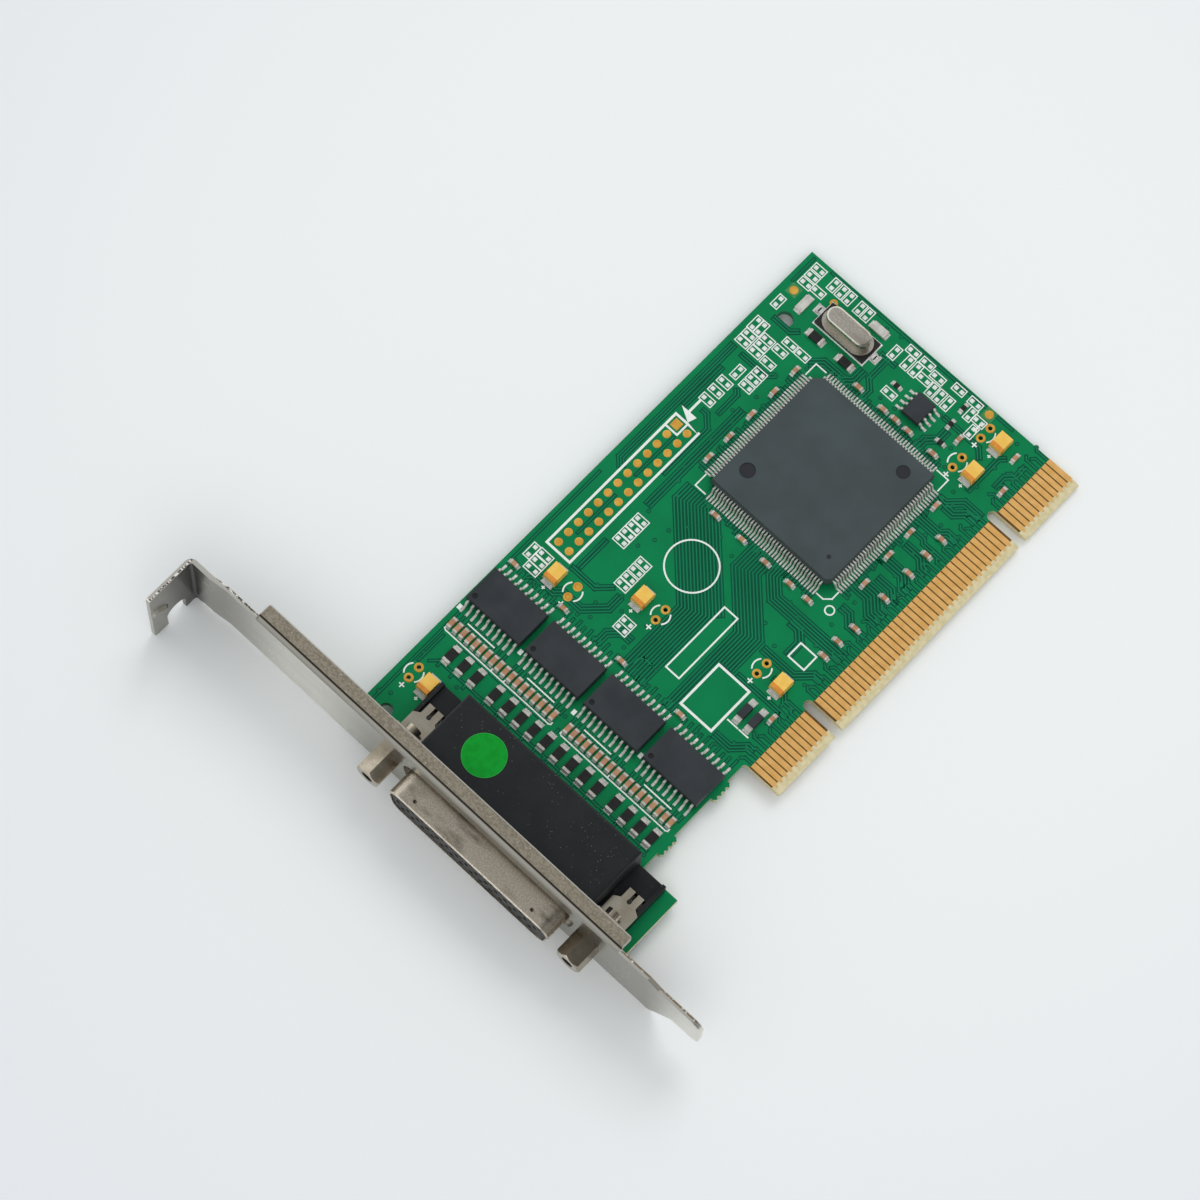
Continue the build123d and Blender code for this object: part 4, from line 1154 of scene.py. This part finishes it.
@dataclass
class BoardPrint:
    """White printed lines, boxes and rings on the component side."""

    heights: Point = (-0.02, 0.045)
    fine: float = 0.26
    bold: float = 0.46
    pad_line: float = 0.19
    header_box: tuple[Point, Point] = ((-58.0, 55.1), (-24.65, 60.6))
    first_pin_box: tuple[Point, Point] = ((-27.5, 57.7), (-24.65, 60.6))
    arrow: tuple[float, float, float, float, float] = (-24.4, -22.75, 1.8, -19.9, 59.15)
    radial_radius: float = 1.75
    plain_ring: tuple[Point, float] = ((-43.65, 39.15), 4.9)
    small_ring: tuple[Point, float] = ((-32.9, 16.2), 0.85)
    crystal_box: tuple[Point, Point] = ((5.05, 42.9), (10.4, 54.7))
    resistor_line_x: float = -82.0
    resistor_lines: tuple[tuple[float, float, Point], ...] = (
        (62.6, 37.2, (51.4, 48.4)), (34.9, 9.5, (23.6, 20.6)),
    )
    driver_line_x: float = -78.49
    driver_lines: tuple[Point, ...] = ((60.1, 53.9), (45.8, 39.6), (32.2, 26.1), (18.0, 11.8))
    driver_spots: tuple[Point, ...] = ((-77.2, 63.4), (-75.9, 50.0), (-77.4, 35.8), (-75.1, 22.1))
    driver_spot_size: Point = (1.0, 0.75)
    diode_line_x: float = -59.9
    diode_lines: tuple[Point, ...] = ((15.6, 13.3), (12.9, 10.9))
    controller_corners: tuple[tuple[Point, ...], ...] = (
        ((-32.15, 46.6), (-32.15, 48.97), (-29.4, 48.97)),
        ((-32.15, 19.97), (-32.15, 18.47), (-31.07, 17.3), (-29.4, 17.3)),
        ((-3.15, 17.3), (-0.4, 17.3), (-0.4, 19.97)),
        ((-3.15, 48.97), (-0.4, 48.97), (-0.4, 46.6)),
    )

    def build(self) -> None:
        """Prints every line."""
        self.print_header()
        self.print_part_outlines()
        self.print_pad_boxes()
        self.print_plain_shapes()

    def print_header(self) -> None:
        """Box and arrow of the unfitted header."""
        work = Workpiece("header_print")
        work.box_outline(*self.header_box, self.bold, self.heights)
        work.box_outline(*self.first_pin_box, self.bold * 0.8, self.heights)
        tip, base, half, stem_end, y = self.arrow
        low, high = self.heights
        work.bar((base, y), (stem_end, y), self.bold, self.heights)
        bpy.ops.mesh.select_all(action="DESELECT")
        work.block(((tip + base) / 2, y, (low + high) / 2 + 0.004), (base - tip, 2 * half, high - low))
        work.pick(lambda p: abs(p.x - tip) < 0.02 and abs(p.y - y) > half - 0.02)
        bpy.ops.transform.resize(value=(1, 0.02, 1))
        finish_piece(work.close(), SILK)

    def print_part_outlines(self) -> None:
        """Marks beside the fitted parts."""
        work = Workpiece("part_print")
        h = self.heights
        x = self.resistor_line_x
        for top, bottom, kinks in self.resistor_lines:
            work.path([(x + 0.6, top), (x + 0.2, top), (x, top - 0.4), (x, bottom + 0.4),
                       (x + 0.2, bottom), (x + 0.6, bottom)], self.fine, h)
            for y in kinks:
                work.bar((x, y), (x + 0.5, y), self.fine, h)
        for top, bottom in self.driver_lines:
            work.bar((self.driver_line_x, top), (self.driver_line_x, bottom), self.fine, h)
        for x, y in self.driver_spots:
            work.block((x, y, sum(h) / 2), (*self.driver_spot_size, h[1] - h[0]))
        for corner in self.controller_corners:
            work.path(corner, self.fine, h)
        work.arc(*self.small_ring, (0, 360), self.fine, h, steps=16)
        for top, bottom in self.diode_lines:
            work.bar((self.diode_line_x, top), (self.diode_line_x, bottom), self.fine, h)
        work.box_outline(*self.crystal_box, self.fine, h)
        for x, y in BoardCopper().radial_places:
            for start in (50, 230):
                work.arc((x, y), self.radial_radius, (start, start + 80), self.fine * 1.1, h, steps=6)
            work.bar((x - 3.5, y), (x - 2.6, y), self.fine, h)
            work.bar((x - 3.05, y - 0.45), (x - 3.05, y + 0.45), self.fine, h)
        for x, y in TantalumDress().places:
            work.bar((x - 3.3, y), (x - 2.8, y), self.fine * 0.85, h)
            work.bar((x - 3.05, y - 0.25), (x - 3.05, y + 0.25), self.fine * 0.85, h)
        finish_piece(work.close(), SILK)

    def print_pad_boxes(self) -> None:
        """A thin box round each unfitted chip place."""
        work = Workpiece("pad_boxes")
        across, along = 0.76, 0.62
        for group in PAD_GROUPS:
            for (ax, ay), (bx, by) in group.pairs():
                low = (min(ax, bx), min(ay, by))
                high = (max(ax, bx), max(ay, by))
                dx, dy = (across, along) if group.upright else (along, across)
                work.box_outline((low[0] - dx, low[1] - dy), (high[0] + dx, high[1] + dy),
                                 self.pad_line, self.heights)
        finish_piece(work.close(), SILK)

    def print_plain_shapes(self) -> None:
        """The bare ring and the bare boxes."""
        work = Workpiece("plain_print")
        h = self.heights
        work.arc(*self.plain_ring, (0, 360), self.fine * 1.2, h, steps=48)
        work.box_outline((-60.3, 26.8), (-45.2, 29.9), self.fine * 1.2, h)
        work.box_outline((-63.4, 16.3), (-53.6, 23.5), self.bold, h)
        work.box_outline((-44.1, 12.1), (-40.8, 15.8), self.fine * 1.2, h)
        finish_piece(work.close(), SILK)


@dataclass
class ChipEnds:
    """Metal ends and solder of one kind of chip part."""

    name: str
    size: tuple[float, float, float]
    cap: float
    pad_beyond: float
    pad_width: float
    places: list[Place] = field(default_factory=list)

    def build(self) -> None:
        """Models one end and repeats it at both ends of every chip."""
        length, width, height = self.size
        work = Workpiece(f"{self.name}_ends")
        work.block((length / 2 - self.cap / 2 + 0.02, 0, height / 2),
                   (self.cap + 0.04, width + 0.05, height + 0.03))
        ends = work.close()
        round_edges(ends, 0.06)
        ends_of_all = []
        for place in self.places:
            ends_of_all.append(place)
            ends_of_all.append(Place(place.x, place.y, place.turn + 180, place.side))
        finish_piece(stamp(ends, ends_of_all), CHIP_END)
        work = Workpiece(f"{self.name}_solder")
        inner, outer = length / 2 - self.cap, length / 2 + self.pad_beyond
        work.block(((inner + outer) / 2, 0, 0.01), (outer - inner, self.pad_width, 0.08))
        work.block((length / 2 + self.pad_beyond * 0.35, 0, height * 0.3),
                   (self.pad_beyond * 0.7, self.pad_width * 0.92, height * 0.6))
        top = height * 0.5
        work.pick(lambda p: p.x > length / 2 + self.pad_beyond * 0.5 and p.z > top)
        work.shift(z=-(height * 0.6 - 0.08))
        solder = work.close()
        round_edges(solder, 0.03)
        finish_piece(stamp(solder, ends_of_all), SOLDER)


FLAT_CAPACITORS: tuple[Point, ...] = (
    (-26.75, 50.75), (-21.4, 50.75), (-15.55, 50.75), (-9.66, 50.75), (-4.0, 50.75),
    (-25.05, 15.05), (-18.23, 15.5), (-12.5, 15.6), (-5.6, 15.65), (-54.55, 10.03),
    (10.8, 11.4), (4.6, 8.9), (6.54, 21.0),
)
UPRIGHT_CAPACITORS: tuple[Point, ...] = (
    (-64.97, 61.9), (-64.97, 50.1), (-65.0, 36.16), (-65.0, 22.2),
    (-33.9, 42.55), (-34.0, 36.16), (-34.24, 30.24), (-34.2, 24.56), (-34.2, 20.26),
    (1.46, 40.5), (1.4, 34.55), (1.46, 31.7), (1.4, 28.6), (1.3, 22.6),
    (-39.9, 11.3), (-36.2, 11.3), (-32.34, 10.7), (-24.66, 10.75),
    (-18.28, 10.7), (-13.6, 10.7), (-9.6, 10.76),
)


def chip_kinds() -> list[ChipEnds]:
    """Every kind of chip part with its places.

    Returns:
        The kinds, ready to build.
    """
    array = [Place(-80.37, top - k * 1.431) for top in (62.21, 34.42) for k in range(18)]
    small = [Place(x, y) for x, y in FLAT_CAPACITORS] + [Place(x, y, 90) for x, y in UPRIGHT_CAPACITORS]
    resistors = [Place(7.7, 24.0), Place(11.54, 24.35), Place(6.46, 35.77, 90), Place(3.85, 23.0, 90)]
    return [
        ChipEnds("series_resistor", (3.2, 1.6, 0.55), 0.55, 0.5, 1.5,
                 [Place(-84.66, y) for y in SERIES_RESISTOR_YS]),
        ChipEnds("array_capacitor", (2.0, 0.9, 0.8), 0.42, 0.25, 0.9, array),
        ChipEnds("decoupling_capacitor", (1.6, 0.8, 0.7), 0.38, 0.4, 0.85, small),
        ChipEnds("small_resistor", (1.6, 0.8, 0.45), 0.34, 0.4, 0.85, resistors),
        ChipEnds("pull_up_resistor", (3.2, 1.6, 0.55), 0.55, 0.5, 1.5,
                 [Place(3.2, 52.44, 90), Place(3.2, 45.4, 90)]),
        ChipEnds("ferrite_chip", (3.2, 1.6, 0.55), 0.6, 0.5, 1.5,
                 [Place(6.5, 58.23), Place(12.22, 45.15, 90)]),
    ]


@dataclass
class LeadPads:
    """Tinned pads and solder toes under one chip's rows of leads."""

    name: str
    centre: Point
    toe: float
    pad_from: float
    pad_to: float
    width: float
    count: int
    pitch: float
    turns: tuple[float, ...]

    def places(self) -> list[Place]:
        """Where each lead's pad goes."""
        made = []
        for turn in self.turns:
            angle = math.radians(turn)
            for k in range(self.count):
                along = (k - (self.count - 1) / 2) * self.pitch
                x = self.centre[0] - along * math.sin(angle)
                y = self.centre[1] + along * math.cos(angle)
                made.append(Place(x, y, turn))
        return made

    def build(self) -> None:
        """Models one pad with its solder toe and repeats it."""
        work = Workpiece(self.name)
        middle = (self.pad_from + self.pad_to) / 2
        work.block((middle, 0, 0.0), (self.pad_to - self.pad_from, self.width, 0.05))
        toe_length = (self.pad_to - self.toe) * 0.7
        work.block((self.toe + toe_length / 2 - 0.02, 0, 0.1), (toe_length, self.width * 0.85, 0.2))
        work.pick(lambda p: p.x > self.toe + toe_length * 0.6 and p.z > 0.15)
        work.shift(z=-0.15)
        finish_piece(stamp(work.close(), self.places()), SOLDER)


@dataclass
class TantalumDress:
    """Band, end tabs and pads of the tantalum capacitors."""

    size: tuple[float, float, float] = (3.5, 2.8, 1.9)
    band: float = 0.75
    places: tuple[Point, ...] = (
        (-91.5, 57.3), (-61.5, 55.3), (-54.05, 41.3), (-49.0, 13.05), (3.35, 15.05), (11.0, 15.05),
    )

    def build(self) -> None:
        """Models the band and the tabs and repeats them."""
        length, width, height = self.size
        lean = height * math.tan(math.radians(4))
        spots = [Place(x, y) for x, y in self.places]
        work = Workpiece("tantalum_bands")
        low = 0.15
        middle = -length / 2 + self.band / 2 + lean
        work.block((middle, 0, (low + height) / 2 + 0.008), (self.band, width + 0.03, height - low + 0.016))
        work.pick(lambda p: p.z > height - 0.3)
        bpy.ops.transform.resize(value=(1, 1 - 2 * lean / width, 1))
        finish_piece(stamp(work.close(), spots), BAND)
        work = Workpiece("tantalum_tabs")
        for end, lip in ((-1, 0.85), (1, 0.45)):
            x = end * (length / 2 + 0.05)
            work.block((x, 0, 0.45), (0.14, 2.2, 0.9))
            work.block((x + end * lip * 0.35, 0, 0.02), (lip, 2.4, 0.09))
        tabs = work.close()
        round_edges(tabs, 0.04)
        finish_piece(stamp(tabs, spots), SOLDER)


@dataclass
class DiodeDress:
    """Pads under the two diodes."""

    places: tuple[Point, ...] = ((-56.8, 14.4), (-56.8, 11.9))

    def build(self) -> None:
        """Models the pads and solder at both ends."""
        work = Workpiece("diode_solder")
        for end in (-1, 1):
            work.block((end * 2.3, 0, 0.01), (1.0, 1.35, 0.08))
            work.block((end * 2.45, 0, 0.1), (0.3, 1.1, 0.2))
        solder = work.close()
        round_edges(solder, 0.04)
        finish_piece(stamp(solder, [Place(x, y) for x, y in self.places]), SOLDER)


@dataclass
class CrystalDress:
    """Pads at both ends of the crystal."""

    centre: Point = (7.7, 48.8)
    reach: float = 7.1

    def build(self) -> None:
        """Models the two pads with their solder."""
        work = Workpiece("crystal_pads")
        x, y = self.centre
        for end in (-1, 1):
            work.block((x, y + end * (self.reach - 0.5), 0.0), (2.0, 2.0, 0.06))
            work.block((x, y + end * (self.reach - 0.25), 0.12), (1.5, 0.7, 0.26))
        pads = work.close()
        round_edges(pads, 0.05)
        finish_piece(pads, SOLDER)


@dataclass
class SolderSide:
    """Solder joints and tracks on the solder side."""

    contact_rows: tuple[float, ...] = (-93.22, -95.76, -98.3)
    row_shifts: tuple[float, ...] = (-0.57, 0.57, 0.57)
    row_counts: tuple[int, ...] = (15, 15, 14)
    socket_pitch: float = 2.29
    connector_y: float = 29.0
    clip_x: float = -94.46
    clip_ys: tuple[float, ...] = (52.52, 5.23)
    bundles: tuple[Bundle, ...] = (
        Bundle(((-90.5, 12.0), (-72.0, 12.0), (-60.0, 24.0), (-40.0, 24.0)), 8),
        Bundle(((-90.5, 26.0), (-70.0, 26.0), (-58.0, 38.0), (-36.0, 38.0)), 8),
        Bundle(((-90.5, 40.0), (-74.0, 40.0), (-66.0, 48.0), (-30.0, 48.0)), 6),
        Bundle(((-4.0, 9.0), (-4.0, 18.0), (-12.0, 26.0), (-12.0, 44.0)), 8),
        Bundle(((-34.0, 9.0), (-34.0, 14.0), (-26.0, 22.0), (-26.0, 30.0)), 8, pitch=-0.62),
    )

    def tail_places(self) -> list[Place]:
        """Where the connector's contacts come through."""
        made = []
        for x, shift, count in zip(self.contact_rows, self.row_shifts, self.row_counts):
            for k in range(count):
                y = self.connector_y + shift + (k - (count - 1) / 2) * self.socket_pitch
                made.append(Place(x, y, side=Side.SOLDER))
        return made

    def build(self) -> None:
        """Models joints, lands and tracks of the solder side."""
        work = Workpiece("contact_joints")
        work.disc((0, 0), 0.85, (-0.02, 0.06), 0.78, sides=10)
        work.disc((0, 0), 0.66, (0.04, 0.55), 0.4, sides=10)
        finish_piece(stamp(work.close(), self.tail_places()), SOLDER)
        work = Workpiece("lock_joints")
        work.disc((0, 0), 2.4, (-0.02, 0.06), 2.3, sides=20)
        work.disc((0, 0), 2.1, (0.04, 0.4), 1.5, sides=20)
        locks = [Place(self.clip_x, y, side=Side.SOLDER) for y in self.clip_ys]
        finish_piece(stamp(work.close(), locks), SOLDER)
        copper = BoardCopper()
        work = Workpiece("back_header_lands")
        work.disc((0, 0), copper.land_radius, copper.land_heights, copper.land_crown, sides=12)
        backs = [Place(p.x, p.y, side=Side.SOLDER) for p in copper.header_places()]
        finish_piece(stamp(work.close(), backs), LAND)
        work = Workpiece("back_vias")
        work.disc((0, 0), copper.via_radius, (-0.02, 0.045), copper.via_radius * 0.75, sides=8)
        backs = [Place(x, y, side=Side.SOLDER) for x, y in copper.vias]
        finish_piece(stamp(work.close(), backs), TRACK)
        work = Workpiece("back_tracks")
        low, high = -BOARD_THICKNESS - 0.03, -BOARD_THICKNESS + 0.02
        for bundle in self.bundles:
            for line in bundle.lines():
                work.path(line, copper.track_width, (low, high))
        finish_piece(work.close(), TRACK)


@dataclass
class ConnectorDress:
    """Metal seen in the port's contact holes."""

    centre: Point = (29.0, 5.35)
    face_x: float = -111.05
    pitch: float = 2.29
    row_spacing: float = 1.98
    rows: tuple[tuple[int, float], ...] = ((15, -0.57), (15, 0.57), (14, 0.57))

    def places(self) -> list[Point]:
        """Contact holes as Y and Z."""
        made = []
        for row, (count, shift) in enumerate(self.rows):
            z = self.centre[1] + (1 - row) * self.row_spacing
            made += [(self.centre[0] + shift + (k - (count - 1) / 2) * self.pitch, z) for k in range(count)]
        return made

    def build(self) -> None:
        """Models the sprung contact at the bottom of each hole."""
        work = Workpiece("socket_springs")
        for y, z in self.places():
            bpy.ops.mesh.primitive_cylinder_add(
                vertices=8, radius=0.36 * MM, depth=0.25 * MM,
                location=Vector((self.face_x + 1.08, y, z)) * MM, rotation=(0, math.pi / 2, 0))
        finish_piece(work.close(), SOCKET_GOLD)


@dataclass
class Studio:
    """Pale table, soft light and the camera."""

    table_colour: Colour = (245, 248, 248)
    # Painted shade: the table darkens to this towards the corners, where the light falls off.
    table_corner_shade: Colour = (238, 241, 244)
    centre: Point = (-30.0, 20.0)
    corner_reach: Point = (70.0, 190.0)
    camera_place: tuple[float, float, float] = (-253.86477, -99.55292, 745.29158)
    camera_right: tuple[float, float, float] = (0.68366066, -0.72893342, 0.03555525)
    camera_down: tuple[float, float, float] = (-0.68632663, -0.65873601, -0.30825741)
    camera_view: tuple[float, float, float] = (0.24812065, 0.18634095, -0.95063831)
    lens: float = 134.515
    rests: tuple[tuple[float, float, float], ...] = (
        (-105.86, 97.7, -4.56), (-105.41, -8.7, -3.86), (15.115, 1.65, -1.62),
    )
    sky_colour: tuple[float, float, float, float] = (0.975, 0.99, 1.0, 1.0)
    sky: float = 0.63
    horizon: float = 1.1
    zenith: float = 0.42
    near_side: float = 0.22
    near_from: Point = (-0.5, 0.05)
    darkens: Point = (0.62, 0.93)
    key_power: float = 4.8
    fill_power: float = 3.4
    key_place: tuple[float, float, float] = (0.75, 0.25, 1.15)
    fill_place: tuple[float, float, float] = (-0.7, -0.5, 1.1)
    card_middle: tuple[float, float, float] = (-0.05, 0.03, 0.0)
    table_size: float = 8

    def table_axes(self) -> tuple[Vector, Vector]:
        """The table's direction and a point on it.

        Returns:
            The upward normal, and a point in metres.
        """
        first, second, third = (Vector(p) * MM for p in self.rests)
        up = (second - first).cross(third - first).normalized()
        if up.z < 0:
            up.negate()
        return up, first

    def build_table(self) -> None:
        """Floor that the card's lowest points touch."""
        up, point = self.table_axes()
        bpy.ops.object.select_all(action="DESELECT")
        centre = Vector(self.card_middle)
        centre.z = point.z - (up.x * (centre.x - point.x) + up.y * (centre.y - point.y)) / up.z
        bpy.ops.mesh.primitive_plane_add(size=self.table_size, location=centre)
        table = bpy.context.active_object
        table.name = "table"
        table.rotation_mode = "QUATERNION"
        table.rotation_quaternion = up.to_track_quat("Z", "Y")
        graph = Graph("table_top", self.table_colour, 0.7, 0.0)
        graph.set("Specular IOR Level", 0.15)
        # Painted shade: darker towards the corners, for the light falling off away from the card.
        outer = graph.step(graph.distance(self.centre), *self.corner_reach)
        graph.wire(graph.blend(outer, self.table_colour, self.table_corner_shade), "Base Color")
        table.data.materials.append(graph.material)

    def build_lamps(self) -> None:
        """A wide key light from the far side and a weaker fill, both kept out of reflections."""
        for name, place, power, size in (
            ("key_light", self.key_place, self.key_power, 0.7),
            ("fill_light", self.fill_place, self.fill_power, 0.9),
        ):
            lamp = bpy.data.lights.new(name, "AREA")
            lamp.energy = power
            lamp.shape = "SQUARE"
            lamp.size = size
            holder = bpy.data.objects.new(name, lamp)
            bpy.context.scene.collection.objects.link(holder)
            holder.location = place
            holder.visible_glossy = False
            aim = Vector(self.card_middle) - Vector(place)
            holder.rotation_mode = "QUATERNION"
            holder.rotation_quaternion = aim.to_track_quat("-Z", "Y")

    def build_sky(self) -> None:
        """A sky that is white to the camera, and darker overhead and on the near side in reflections."""
        world = bpy.data.worlds.new("sky")
        bpy.context.scene.world = world
        world.use_nodes = True
        tree = world.node_tree
        light = tree.nodes["Background"]
        light.inputs["Color"].default_value = self.sky_colour
        path = tree.nodes.new("ShaderNodeLightPath")
        seen = tree.nodes.new("ShaderNodeMath")
        seen.operation = "MAXIMUM"
        tree.links.new(path.outputs["Is Camera Ray"], seen.inputs[0])
        tree.links.new(path.outputs["Is Transmission Ray"], seen.inputs[1])
        plain = tree.nodes.new("ShaderNodeMapRange")
        plain.inputs["To Min"].default_value = self.sky
        plain.inputs["To Max"].default_value = 1.0
        tree.links.new(seen.outputs[0], plain.inputs["Value"])
        direction = tree.nodes.new("ShaderNodeSeparateXYZ")
        tree.links.new(tree.nodes.new("ShaderNodeTexCoord").outputs["Generated"], direction.inputs[0])
        ramps = []
        for letter, span, ends in (
            ("Z", self.darkens, (self.horizon, self.zenith)),
            ("Y", self.near_from, (self.near_side, 1.0)),
        ):
            ramp = tree.nodes.new("ShaderNodeMapRange")
            ramp.interpolation_type = "SMOOTHSTEP"
            ramp.inputs["From Min"].default_value, ramp.inputs["From Max"].default_value = span
            ramp.inputs["To Min"].default_value, ramp.inputs["To Max"].default_value = ends
            tree.links.new(direction.outputs[letter], ramp.inputs["Value"])
            ramps.append(ramp.outputs["Result"])
        gloss = tree.nodes.new("ShaderNodeMath")
        gloss.operation = "MULTIPLY"
        tree.links.new(ramps[0], gloss.inputs[0])
        tree.links.new(ramps[1], gloss.inputs[1])
        pick = tree.nodes.new("ShaderNodeMix")
        tree.links.new(path.outputs["Is Glossy Ray"], pick.inputs[0])
        tree.links.new(plain.outputs["Result"], pick.inputs[2])
        tree.links.new(gloss.outputs[0], pick.inputs[3])
        tree.links.new(pick.outputs[0], light.inputs["Strength"])

    def build_camera(self) -> None:
        """Camera where the photograph was taken from."""
        data = bpy.data.cameras.new("camera")
        data.lens = self.lens
        data.sensor_width = 36.0
        data.clip_start = 0.01
        data.clip_end = 20.0
        camera = bpy.data.objects.new("camera", data)
        bpy.context.scene.collection.objects.link(camera)
        right, down, view = (Vector(v) for v in (self.camera_right, self.camera_down, self.camera_view))
        turn = Matrix((right, -down, -view)).transposed().to_4x4()
        camera.matrix_world = Matrix.Translation(Vector(self.camera_place) * MM) @ turn
        bpy.context.scene.camera = camera

    def build(self) -> None:
        """Sets the whole stage."""
        self.build_table()
        self.build_lamps()
        self.build_sky()
        self.build_camera()
        bpy.context.scene.view_settings.view_transform = "Standard"


def dress_solids() -> None:
    """Gives every solid its finish."""
    for name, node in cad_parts.items():
        finish = FINISH_OF_NODE[name]
        if node.material_slots:
            for slot in node.material_slots:
                slot.material = finish.material()
        else:
            node.data.materials.append(finish.material())
        log.info("%s dressed as %s", name, finish.name)


def build_chips() -> None:
    """Solder, pads and trim of every fitted part."""
    for kind in chip_kinds():
        kind.build()
    LeadPads("controller_pads", CONTROLLER_CENTRE, toe=16.0, pad_from=14.9, pad_to=16.4, width=0.36,
             count=CONTROLLER_LEADS, pitch=CONTROLLER_PITCH, turns=(0, 90, 180, 270)).build()
    for k, y in enumerate(DRIVER_ROWS):
        LeadPads(f"line_driver_{k + 1}_pads", (-71.9, y), toe=5.2, pad_from=4.75, pad_to=5.9, width=0.5,
                 count=DRIVER_LEADS, pitch=DRIVER_PITCH, turns=(0, 180)).build()
    LeadPads("memory_chip_pads", (5.6, 29.95), toe=3.05, pad_from=2.5, pad_to=3.6, width=0.52,
             count=4, pitch=1.27, turns=(90, 270)).build()
    TantalumDress().build()
    DiodeDress().build()
    CrystalDress().build()


def main() -> None:
    """Builds the looks of the card and its stage."""
    logging.basicConfig(level=logging.INFO, format="%(message)s")
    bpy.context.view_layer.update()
    dress_solids()
    BoardCopper().build()
    BoardPrint().build()
    build_chips()
    SolderSide().build()
    ConnectorDress().build()
    Studio().build()


if __name__ == "__main__":
    main()
